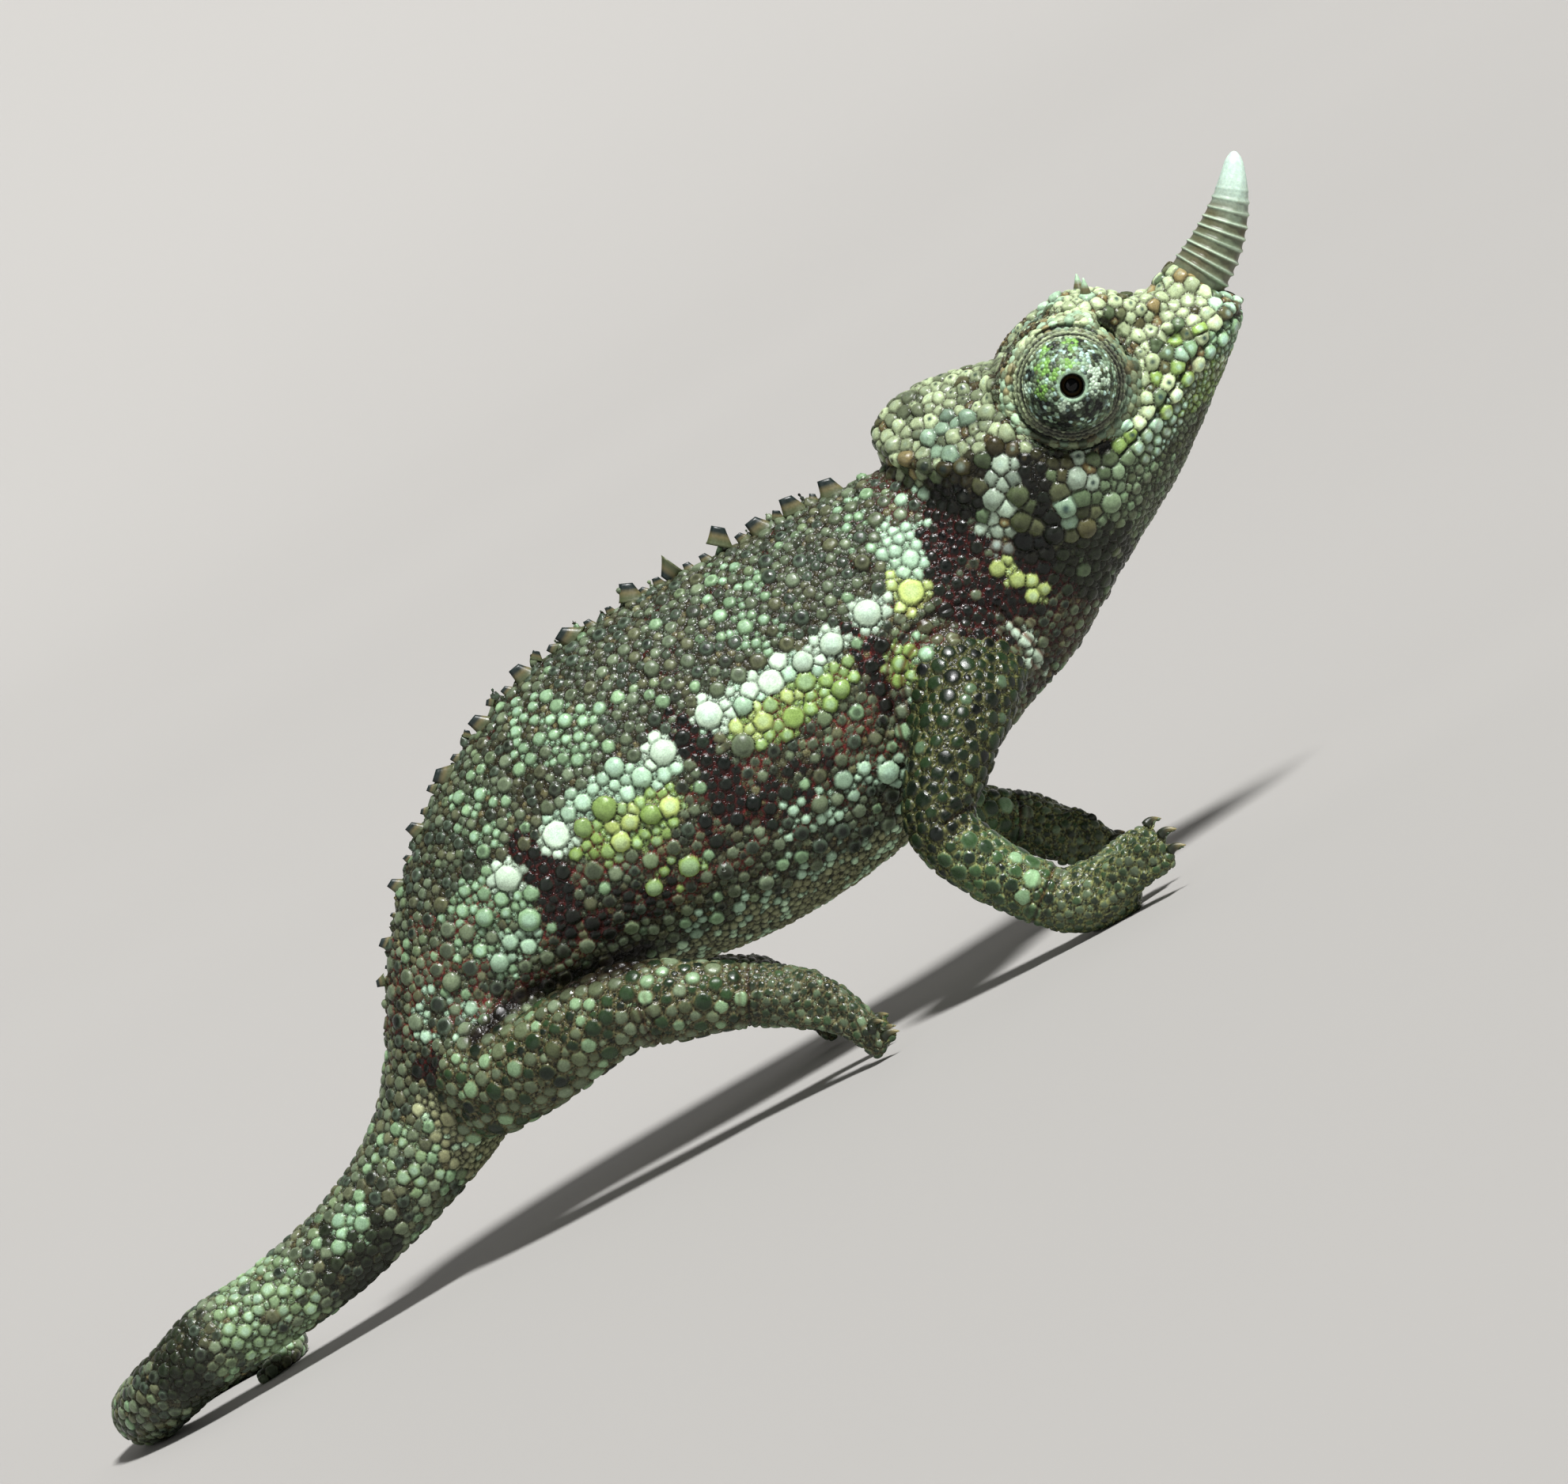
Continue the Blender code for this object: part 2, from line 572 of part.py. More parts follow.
class Stance:
    """How a foot stands: its directions, its length, its palm and its toes."""

    def __init__(self, side, pitch, yaw, reach, palm, palm_down, bow, tip_height, toes):
        self.reach, self.palm, self.palm_down = reach, palm, palm_down
        self.bow, self.tip_height = bow, tip_height
        self.outer_toes, self.inner_toes = toes
        rise, turn = math.radians(pitch), math.radians(yaw)
        forward = Vector((math.cos(rise) * math.cos(turn), side * math.sin(turn), math.sin(rise)))
        outward = Vector((0, side, 0))
        outward = (outward - forward * outward.dot(forward)).normalized()
        self.frame = (forward, forward.cross(outward) * side, outward)


def toe(root, tip, radius, bow, collection):
    """One toe from its root to its tip, bowed by a vector, resting flat where it meets the floor."""
    middle = (root + tip) / 2 + bow
    rows = []
    for k in range(TOE_RINGS):
        u = k / (TOE_RINGS - 1)
        p = root * (1 - u) ** 2 + middle * 2 * u * (1 - u) + tip * u**2
        r = radius * (1.05 - 0.25 * u)
        p.z = max(p.z, r * SOLE_SHARE)
        rows.append((*p, r, r))
    return tube("toe", rows, (0, TOE_RINGS - 1, 1), SKIN, collection, TOE_SIDES, flat=True), rows[-1]


def claw(tip, forward, rise, collection):
    """A curved claw whose root is sunk into a toe's tip."""
    rows = []
    place = Vector(tip[:3]) + UP * 0.12
    for k in range(4):
        u = k / 3
        way = (forward * math.cos(rise * (1 - 2 * u)) + UP * math.sin(rise * (1 - 2 * u))).normalized()
        r = CLAW_RADIUS * (1 - u) + 0.04
        rows.append((place.x, place.y, max(place.z, r + 0.03), r, r))
        place = place + way * CLAW_LENGTH * 0.5
    return tube("claw", rows, (0, 3, 1), HORN, collection, 5)


def trimmed(obj, point, normal):
    """Cuts an object off at a plane, keeps the side the normal points to and closes the cut."""
    bm = bmesh.new()
    bm.from_mesh(obj.data)
    parts = bm.verts[:] + bm.edges[:] + bm.faces[:]
    bmesh.ops.bisect_plane(bm, geom=parts, plane_co=point * MM, plane_no=normal, dist=1e-7, clear_inner=True)
    bmesh.ops.holes_fill(bm, edges=[e for e in bm.edges if e.is_boundary])
    bmesh.ops.recalc_face_normals(bm, faces=bm.faces[:])
    bm.to_mesh(obj.data)
    bm.free()


def make_foot(name, wrist, shin_way, stance, collection):
    """A grasping foot: a palm and two opposed bundles of toes, side by side on the floor."""
    forward, upward, outward = stance.frame
    origin = Vector(wrist[:3])
    palm_rows = [(*(origin + shin_way * along), wrist[3], wrist[4]) for along in PALM_ROOT]
    for share, high, wide in stance.palm:
        p = origin + forward * stance.reach * share
        if stance.palm_down:
            p.z = min(p.z, high * SOLE_SHARE)
        palm_rows.append((p.x, p.y, p.z, high, wide))
    palm = tube(name, palm_rows, (0, 3, 0.5), SKIN, collection, LIMB_SIDES, flat=True)
    trimmed(palm, origin + shin_way * GAP / 2, shin_way)
    pieces = []
    bundles = ((stance.outer_toes, *OUTER_BUNDLE), (stance.inner_toes, *INNER_BUNDLE))
    for count, way, length, splay in bundles:
        radius = TOE_RADIUS * (1.0 if count == 2 else TRIPLE_RADIUS)
        for k in range(count):
            level = (k - (count - 1) / 2) * TOE_PITCH * (1.0 if count == 2 else TRIPLE_PITCH)
            root = origin + forward * stance.reach * TOE_ROOT + outward * way * BUNDLE_OFFSET + upward * level
            root.z = min(root.z, palm_rows[2][2] + level)
            tip = origin + forward * (stance.reach - 1.0) * length * (1 - 0.05 * abs(level))
            tip += outward * way * (BUNDLE_OFFSET + splay)
            tip.z = max(stance.tip_height + level * 0.85, radius * 0.8 * SOLE_SHARE)
            made, end = toe(root, tip, radius, upward * stance.bow, collection)
            way_out = Vector((tip.x - root.x, tip.y - root.y, 0)).normalized()
            pieces += [made, claw(end, way_out, CLAW_RISE, collection)]
    return joined(palm, pieces)


def mirrored(rows, side):
    """Limb rows with their distance from the plane of symmetry turned into y."""
    return [(x, side * out, z, up, across) for x, out, z, up, across in rows]


def make_limb(names, rows, marks, body, stance, collection):
    """Upper and lower limb, cut clear of the body, with the foot at the end."""
    upper_name, lower_name, foot_name = names
    middle, end = marks
    shape = (SKIN, collection, LIMB_SIDES)
    upper = tube(upper_name, rows, (0, middle, 0.5), *shape, gaps=(0, GAP / 2), pointed=(False, False))
    cut(upper, body)
    keep_largest(upper)
    ends = {"gaps": (GAP / 2, GAP / 2), "pointed": (False, False)}
    lower = tube(lower_name, rows, (middle, end, 0.5), *shape, flat=True, **ends)
    before, after = interpolate(rows, end - 0.05), interpolate(rows, end + 0.05)
    shin_way = (Vector(after[:3]) - Vector(before[:3])).normalized()
    return [upper, lower, make_foot(foot_name, rows[-1], shin_way, stance, collection)]


def make_limbs(helpers, collection):
    """Both arms and both legs."""
    body = loft("body_clearance", trunk_rings(0, 15, TRUNK_SIDES, grow=GAP + 0.12), SKIN, helpers)
    body.hide_render = True
    body.display_type = "WIRE"
    nodes = []
    arms = ((RIGHT, "right", RIGHT_ARM, RIGHT_HAND), (LEFT, "left", LEFT_ARM, LEFT_HAND))
    for side, word, arm, hand in arms:
        names = (f"upper_arm_{word}", f"forearm_{word}", f"hand_{word}")
        stance = Stance(side, **hand)
        nodes += make_limb(names, mirrored(arm, side), (ELBOW, WRIST), body, stance, collection)
    for side, word, stride in ((RIGHT, "right", 0.0), (LEFT, "left", LEFT_STRIDE)):
        rows = mirrored(LEG, side)
        rows = [(row[0] + stride * (k / 7) ** 1.5, *row[1:]) for k, row in enumerate(rows)]
        names = (f"thigh_{word}", f"shin_{word}", f"foot_{word}")
        nodes += make_limb(names, rows, (KNEE, ANKLE), body, Stance(side, **HIND_FOOT), collection)
    return nodes


def ribbon(name, line, half, collection):
    """A thin upright wall along a profile line, across the whole head: the cut that parts the jaw."""
    bm = bmesh.new()
    upper, lower = [], []
    for i, (x, z) in enumerate(line):
        before, after = line[max(i - 1, 0)], line[min(i + 1, len(line) - 1)]
        along = Vector((after[0] - before[0], 0, after[1] - before[1])).normalized()
        across = Vector((-along.z, 0, along.x))
        upper.append(Vector((x, 0, z)) + across * half)
        lower.append(Vector((x, 0, z)) - across * half)
    outline = [bm.verts.new((p + Vector((0, -12, 0))) * MM) for p in upper + lower[::-1]]
    face = bm.faces.new(outline)
    pushed = bmesh.ops.extrude_face_region(bm, geom=[face])
    verts = [v for v in pushed["geom"] if isinstance(v, bmesh.types.BMVert)]
    bmesh.ops.translate(bm, verts=verts, vec=(0, 24 * MM, 0))
    made = new_object(name, bm, SKIN, collection)
    made.hide_render = True
    made.display_type = "WIRE"
    return made


def surface_line(tree, line, side, sink, radii):
    """Tube rows along a profile line, laid on the side of the head and sunk into it."""
    rows = []
    for k, (x, z) in enumerate(line):
        place, normal = side_point(tree, x, z, side)
        if place is None:
            continue
        radius = radii[min(k, len(radii) - 1)]
        p = place - normal * radius * sink
        rows.append((p.x, p.y, p.z, radius, radius))
    return rows


def brow(side, collection):
    """The bony ridge over an eye, down to the horn's root."""
    rows = [(x, side * out, z, up, across) for x, out, z, up, across in BROW]
    return tube("brow", rows, (0, len(rows) - 1, 1), SKIN, collection, 8, pointed=(True, True))


def brow_spike(side, collection):
    """The small spine that stands where the second pair of horns would grow."""
    x, out, z = BROW_SPIKE
    return spine(Vector((x, side * out, z)), BROW_SPIKE_LEAN, BROW_SPIKE_SIZE, collection)


def horn_seat(collection):
    """The scaly cone on the snout that carries the horn."""
    way = Vector((math.cos(HORN_LEAN), 0, math.sin(HORN_LEAN)))
    end = Vector((HORN_BASE[0], 0, HORN_BASE[1])) - way * GAP
    rows = []
    for back, radius in HORN_SEAT:
        p = end - way * back
        rows.append((p.x, p.y, p.z, radius, radius))
    return tube("horn_seat", rows, (0, 3, 1), SKIN, collection, 16, pointed=(False, False))


def head_scutes(tree, collection):
    """The raised plates of both sides of the head."""
    made = []
    for radius, places in HEAD_PLATES:
        for x, z in places:
            for side in (RIGHT, LEFT):
                place, normal = side_point(tree, x, z, side)
                if place is not None:
                    made.append(scute(place, normal, radius, collection))
    return made


def make_head(helpers, collection):
    """Skull and upper jaw, and the lower jaw with the throat, parted along the mouth."""
    rows = [interpolate(HEAD, t) for t in span(0, len(HEAD) - 1, 0.5)]
    rings = [section_ring(row, HEAD_SIDES, row[5], HEAD_SAG) for row in rows]
    rings[0] = shifted(rings[0], -GAP / 2)
    nose = Vector((SNOUT_TIP[0], 0, SNOUT_TIP[1]))
    head = loft("head", rings, SKIN, collection, tip=nose)
    tree = surface_of(head)
    pieces = [horn_seat(collection)]
    for side in (RIGHT, LEFT):
        pieces += [brow(side, collection), brow_spike(side, collection)]
        for offset in (LIP_OFFSET, -LIP_OFFSET):
            line = [(x, z + offset) for x, z in MOUTH[1:]]
            radii = [LIP_END_RADIUS] + [LIP_RADIUS] * (len(line) - 2) + [LIP_END_RADIUS]
            rows = surface_line(tree, line, side, LIP_SINK, radii)
            reach = (0, len(rows) - 1, 1)
            pieces.append(tube("lip", rows, reach, SKIN, collection, 6, pointed=(True, True)))
    pieces += head_scutes(tree, collection)
    joined(head, pieces)
    for cutter in eye_sockets(helpers) + nostrils(tree, helpers):
        cut(head, cutter)
    cut(head, ribbon("jaw_cut", MOUTH + JAW_BACK, GAP / 2, helpers))
    jaw = split_off(head, "lower_jaw", collection)
    return [head, jaw]


def split_off(obj, name, collection):
    """Gives the second largest closed surface of an object a node of its own, and drops the rest."""
    bm = bmesh.new()
    bm.from_mesh(obj.data)
    groups = sorted(islands_of(bm), key=lambda g: sum(f.calc_area() for f in g))
    second = {f.index for f in groups[-2]}
    bm.free()
    other = obj.copy()
    other.data = obj.data.copy()
    other.name = name
    collection.objects.link(other)
    bm = bmesh.new()
    bm.from_mesh(other.data)
    bm.faces.ensure_lookup_table()
    bmesh.ops.delete(bm, geom=[f for f in bm.faces if f.index not in second], context="FACES")
    bmesh.ops.dissolve_degenerate(bm, edges=bm.edges[:], dist=1e-7)
    bm.to_mesh(other.data)
    bm.free()
    keep_largest(obj)
    return other


def nostrils(tree, helpers):
    """Cutters for the two nostrils, small ellipsoids on the side of the snout."""
    made = []
    for side in (RIGHT, LEFT):
        place, _ = side_point(tree, *NOSTRIL, side)
        bm = bmesh.new()
        bmesh.ops.create_icosphere(bm, subdivisions=1, radius=MM)
        bmesh.ops.scale(bm, verts=bm.verts[:], vec=NOSTRIL_RADII)
        bmesh.ops.translate(bm, verts=bm.verts[:], vec=place * MM)
        cutter = new_object("nostril_cut", bm, SKIN, helpers)
        cutter.hide_render = True
        cutter.display_type = "WIRE"
        made.append(cutter)
    return made


def turned(name, profile, side, steps, finish, collection):
    """A turned solid about an eye's axis, from a profile of radius and distance out."""
    mesh = bpy.data.meshes.new(name)
    bm = bmesh.new()
    verts = [bm.verts.new((r * MM, 0, out * MM)) for r, out in profile]
    for one, two in zip(verts, verts[1:]):
        bm.edges.new((one, two))
    bm.to_mesh(mesh)
    bm.free()
    obj = bpy.data.objects.new(name, mesh)
    collection.objects.link(obj)
    screw = obj.modifiers.new("turn", "SCREW")
    screw.steps = steps
    screw.render_steps = steps
    screw.use_merge_vertices = True
    screw.merge_threshold = 0.00001
    applied(obj)
    bm = bmesh.new()
    bm.from_mesh(obj.data)
    bmesh.ops.remove_doubles(bm, verts=bm.verts[:], dist=1e-6)
    turn = Matrix.Rotation(math.radians(-90 * side), 4, "X")
    place = Matrix.Translation((EYE_X * MM, 0, EYE_Z * MM))
    bmesh.ops.transform(bm, matrix=place @ turn, verts=bm.verts[:])
    bmesh.ops.recalc_face_normals(bm, faces=bm.faces[:])
    bm.to_mesh(obj.data)
    bm.free()
    obj.data.materials.append(material(finish))
    return obj


def eye_sockets(helpers):
    """Cutters that open the head for the eye turrets."""
    made = []
    for side in (RIGHT, LEFT):
        floor, top = SOCKET_DEPTH
        radius = TURRET_RADIUS + GAP
        profile = [(0, top), (radius, top), (radius, floor), (0, floor)]
        cutter = turned(f"socket_{side}", profile, side, 24, SKIN, helpers)
        cutter.hide_render = True
        cutter.display_type = "WIRE"
        made.append(cutter)
    return made


def make_eyes(collection):
    """The conical lids with their folds, and the eyeball that shows in each opening."""
    nodes = []
    for side, word in ((RIGHT, "right"), (LEFT, "left")):
        nodes.append(turned(f"eye_turret_{word}", LID_PROFILE[::-1], side, 20, LID, collection))
        angles = [math.pi * k / 8 for k in range(9)]
        arc = [(EYEBALL_RADIUS * math.sin(a), EYEBALL_OUT + EYEBALL_RADIUS * math.cos(a)) for a in angles]
        arc[0], arc[-1] = (0, EYEBALL_OUT + EYEBALL_RADIUS), (0, EYEBALL_OUT - EYEBALL_RADIUS)
        nodes.append(turned(f"eyeball_{word}", arc, side, 14, EYE, collection))
    return nodes


def make_horn(collection):
    """The ringed horn of the snout, curving upwards."""
    rings = []
    place = Vector((HORN_BASE[0], 0, HORN_BASE[1]))
    per_ring = len(HORN_SWELLS)
    steps = HORN_RINGS * per_ring
    for k in range(steps + 1):
        u = k / steps
        lean = HORN_LEAN + HORN_CURL * u
        ahead = Vector((math.cos(lean), 0, math.sin(lean)))
        rise = Vector((-ahead.z, 0, ahead.x))
        taper = HORN_RADIUS * (1 - 0.1 * u - 0.68 * u**1.7)
        radius = taper * (1 + HORN_SWELLS[k % per_ring] * (1 - 0.5 * u))
        across = Vector((0, radius * HORN_FLATNESS, 0))
        angles = [math.tau * s / HORN_SIDES for s in range(HORN_SIDES)]
        rings.append([place + rise * radius * math.cos(a) + across * math.sin(a) for a in angles])
        place = place + ahead * HORN_LENGTH / steps
    tip = place + ahead * 0.05
    return loft("rostral_horn", rings, HORN, collection, tip=tip)


def settle(nodes):
    """Moves every node so that the origin is under the middle of the model's box, at the floor."""
    corners = [obj.matrix_world @ v.co for obj in nodes for v in obj.data.vertices]
    low = Vector([min(c[k] for c in corners) for k in range(3)])
    high = Vector([max(c[k] for c in corners) for k in range(3)])
    shift = Vector((-(low.x + high.x) / 2, -(low.y + high.y) / 2, -low.z))
    for obj in nodes:
        obj.data.transform(Matrix.Translation(shift))
        obj.data.update()
    print("moved by, in mm:", [round(v / MM, 4) for v in shift])


def shade(nodes):
    """Smooth shading with creases where faces turn sharply."""
    for obj in nodes:
        obj.data.shade_smooth()
        obj.data.set_sharp_from_angle(angle=math.radians(38))


def main():
    """Builds the animal and leaves one object for each node."""
    clear_scene()
    animal = bpy.data.collections.new("jacksons_chameleon")
    helpers = bpy.data.collections.new("cutters")
    for collection in (animal, helpers):
        bpy.context.scene.collection.children.link(collection)
    nodes = make_trunk(animal)
    nodes += make_tail(animal)
    nodes += make_head(helpers, animal)
    nodes += make_eyes(animal)
    nodes.append(make_horn(animal))
    nodes += make_limbs(helpers, animal)
    settle(nodes)
    shade(nodes)


main()
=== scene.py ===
"""Looks of a life-size Jackson's chameleon: one scaled skin, eye turrets, horn, crest and claws.

Places on the body are given in the body's own measure: millimetres along +X
(head) and +Z (up) and out from the plane of symmetry, with the floor at zero.
The Body class turns them into the frame's metres from the place of the eyes.
"""

import logging
from collections import defaultdict
from dataclasses import dataclass, field
from enum import Enum
from itertools import product
from math import cos, exp, hypot, pi, radians, sin, sqrt, tau
from typing import Iterable, Iterator, Optional, Sequence, Union

import bmesh
import bpy
import numpy as np
from bpy.types import Material, Mesh, Object
from mathutils import Matrix, Vector
from mathutils.bvhtree import BVHTree
from mathutils.kdtree import KDTree
from numpy import ndarray as Array
from numpy.random import default_rng


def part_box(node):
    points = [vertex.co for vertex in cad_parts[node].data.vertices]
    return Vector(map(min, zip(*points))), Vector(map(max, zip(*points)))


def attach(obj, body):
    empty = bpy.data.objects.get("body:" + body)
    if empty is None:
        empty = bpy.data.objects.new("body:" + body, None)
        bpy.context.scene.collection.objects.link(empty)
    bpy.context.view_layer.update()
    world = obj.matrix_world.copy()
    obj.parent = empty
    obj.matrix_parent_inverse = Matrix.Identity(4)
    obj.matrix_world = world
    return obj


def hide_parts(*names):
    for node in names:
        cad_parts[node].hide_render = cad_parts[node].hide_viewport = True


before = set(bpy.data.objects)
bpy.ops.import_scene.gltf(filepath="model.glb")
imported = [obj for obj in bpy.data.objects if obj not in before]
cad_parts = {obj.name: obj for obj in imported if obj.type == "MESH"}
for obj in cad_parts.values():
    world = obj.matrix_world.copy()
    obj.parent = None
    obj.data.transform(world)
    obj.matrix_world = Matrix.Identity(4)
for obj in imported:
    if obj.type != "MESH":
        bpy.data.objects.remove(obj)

Arrays = tuple[Array, ...]
LOG = logging.getLogger("chameleon")
MM = 0.001
RIGHT, LEFT = -1, 1
WORD_OF_SIDE = {RIGHT: "right", LEFT: "left"}

# Places in body millimetres: the eye, the tail's curl from above, the mouth's line and the nostril.
EYE_X, EYE_Z = 38.1, 33.2
CURL_X, CURL_Y = -46.8, 7.9
MOUTH = ((53.0, 31.9), (50.8, 31.3), (47.2, 30.5), (44.8, 29.5), (42.4, 28.3), (39.6, 27.4), (37.4, 26.6))
NOSTRIL = (46.0, 32.4)


class Zone(Enum):
    """Kinds of skin, each with its own scales."""

    TRUNK = 0
    HEAD = 1
    JAW = 2
    TAIL = 3
    LIMB = 4
    FOOT = 5


ZONE_OF_NODE = {
    "head": Zone.HEAD, "lower_jaw": Zone.JAW, "neck": Zone.TRUNK, "torso_front": Zone.TRUNK,
    "torso_rear": Zone.TRUNK, "hips": Zone.TRUNK, "tail_base": Zone.TAIL, "tail_middle": Zone.TAIL,
    "tail_bend": Zone.TAIL, "tail_curl": Zone.TAIL, "tail_tip": Zone.TAIL,
}
for _word in ("right", "left"):
    for _name in ("upper_arm", "forearm", "thigh", "shin"):
        ZONE_OF_NODE[f"{_name}_{_word}"] = Zone.LIMB
    for _name in ("hand", "foot"):
        ZONE_OF_NODE[f"{_name}_{_word}"] = Zone.FOOT

# The skin's pieces and the nodes that each replaces.
PIECES = {
    "skin_head": ("head", "lower_jaw"),
    "skin_chest": ("neck", "torso_front"),
    "skin_belly": ("torso_rear",),
    "skin_hips": ("hips",),
    "skin_tail": ("tail_base", "tail_middle", "tail_bend", "tail_curl", "tail_tip"),
    "skin_arm_right": ("upper_arm_right", "forearm_right", "hand_right"),
    "skin_arm_left": ("upper_arm_left", "forearm_left", "hand_left"),
    "skin_leg_right": ("thigh_right", "shin_right", "foot_right"),
    "skin_leg_left": ("thigh_left", "shin_left", "foot_left"),
}

# The cool light of the photograph, as a factor on each colour.
CAST = np.array((0.88, 1.0, 0.96))


class Tone(Enum):
    """Skin and horn colours, as red, green and blue from 0 to 255 as they look on a screen."""

    MOSS = (40, 45, 28)
    OLIVE = (84, 86, 58)
    LICHEN = (116, 124, 100)
    COAL = (17, 21, 19)
    TEAL = (44, 62, 60)
    BARK = (82, 70, 46)
    RUST = (128, 40, 36)
    SAND = (150, 132, 92)
    SAGE = (146, 172, 132)
    MINT = (184, 208, 178)
    WHITE = (222, 234, 210)
    YELLOW = (202, 210, 124)
    LIME = (152, 174, 92)
    CREAM = (206, 212, 168)
    TAN = (172, 144, 98)
    ICE = (214, 240, 232)
    MAUVE = (112, 104, 96)
    LIMB_RIM = (158, 152, 92)
    LIMB_CORE = (52, 72, 42)
    BAND = (138, 156, 114)
    BELLY = (122, 120, 92)
    HORN_TIP = (214, 228, 216)
    NIGHT = (9, 10, 9)
    LEAF = (138, 180, 88)

    @property
    def linear(self) -> Array:
        """The colour in scene-linear light."""
        share = np.asarray(self.value) / 255.0
        return np.where(share <= 0.04045, share / 12.92, ((share + 0.055) / 1.055) ** 2.4) * CAST

    def __mul__(self, factor: Union[float, Array]) -> Array:
        """The linear colour times a factor, or rows of it times rows of factors."""
        return self.linear * factor


Colour = Union[Tone, Array]


@dataclass
class Body:
    """Turns the body's own measure into the frame's metres.

    Args:
        shift: The frame's place of the body's origin, in millimetres.
    """

    shift: Array

    @classmethod
    def from_eyes(cls) -> "Body":
        """Finds the body's origin from the two eyeballs' boxes.

        Returns:
            The measure of this model.
        """
        middles = []
        for word in ("right", "left"):
            low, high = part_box(f"eyeball_{word}")
            middles.append((np.asarray(low) + np.asarray(high)) / 2 / MM)
        eye = (middles[0] + middles[1]) / 2
        return cls(np.array([eye[0] - EYE_X, eye[1], eye[2] - EYE_Z]))

    def to_body(self, metres: Array) -> Array:
        """Frame metres to body millimetres."""
        return np.asarray(metres) / MM - self.shift

    def to_frame(self, points: Array) -> Array:
        """Body millimetres to frame metres."""
        return (np.asarray(points) + self.shift) * MM

    def matrix(self) -> Matrix:
        """The same as a matrix, for whole meshes."""
        return Matrix.Scale(MM, 4) @ Matrix.Translation(Vector(self.shift))


def smoothstep(low: float, high: float, value: Array) -> Array:
    """A soft step from 0 at low to 1 at high."""
    t = np.clip((value - low) / (high - low), 0.0, 1.0)
    return t * t * (3 - 2 * t)


def bell(value: Array, width: float) -> Array:
    """A bump of 1 at zero that fades out beyond a width."""
    return np.exp(-((value / width) ** 2))


def blend(one: Colour, two: Colour, share: Union[float, Array]) -> Array:
    """Mixes two colours, or rows of them, by one share or by a share for each row."""
    share = np.asarray(share)[..., None]
    return one * (1 - share) + two * share


def waves(points: Array, scale: float, seed: int) -> Array:
    """Smooth noise from 0 to 1 over points, made of a few random waves.

    Args:
        points: Rows of x, y and z.
        scale: Length of the longest waves, in the points' unit.
        seed: Seed of the waves' directions.

    Returns:
        One value for each point.
    """
    draw = default_rng(seed)
    total = np.zeros(len(points))
    for octave in range(3):
        for _ in range(4):
            way = draw.normal(size=3)
            way *= tau / (scale / 1.9**octave) / np.linalg.norm(way)
            total += np.sin(points @ way + draw.uniform(0, tau)) / 1.6**octave
    return np.clip(0.5 + total / 9.0, 0.0, 1.0)


def line_distance(x: Array, z: Array, line: Sequence[tuple]) -> Array:
    """Distance in profile from points to a broken line."""
    best = np.full(len(x), 1e9)
    for (ax, az), (bx, bz) in zip(line, line[1:]):
        length = (bx - ax) ** 2 + (bz - az) ** 2
        t = np.clip(((x - ax) * (bx - ax) + (z - az) * (bz - az)) / length, 0, 1)
        best = np.minimum(best, np.hypot(x - ax - t * (bx - ax), z - az - t * (bz - az)))
    return best


def chin_line(x: Array, height: float) -> Array:
    """Heights of a line parallel to the lower jaw, by its height under the jaw's hinge."""
    return JAW_SLOPE * (x - JAW_HINGE_X) + height


def within(zone: Array, *kinds: Zone) -> Array:
    """Where the zone is one of some kinds."""
    return np.isin(zone, [kind.value for kind in kinds])


def tree_of(places: Iterable) -> KDTree:
    """A tree of places, numbered in their order."""
    places = list(places)
    tree = KDTree(len(places))
    for index, place in enumerate(places):
        tree.insert(place, index)
    tree.balance()
    return tree


DARK_TONES = (Tone.COAL, Tone.NIGHT, Tone.MOSS, Tone.TEAL)
BAR_TONES = (Tone.WHITE, Tone.MINT, Tone.YELLOW, Tone.LIME)


@dataclass(frozen=True)
class Blot:
    """One soft spot of the markings, an ellipse in profile.

    Args:
        x: Place along the body.
        z: Height.
        rx: Half length.
        rz: Half height.
        tone: Colour that its scales take.
        share: Share of the scales inside that take it.
    """

    x: float
    z: float
    rx: float
    rz: float
    tone: Tone
    share: float

    def weight(self, x: Array, z: Array) -> Array:
        """How much each point belongs to the spot, from 0 to 1."""
        reach = np.hypot((x - self.x) / self.rx, (z - self.z) / self.rz)
        return self.share * (1 - smoothstep(0.8, 1.2, reach))


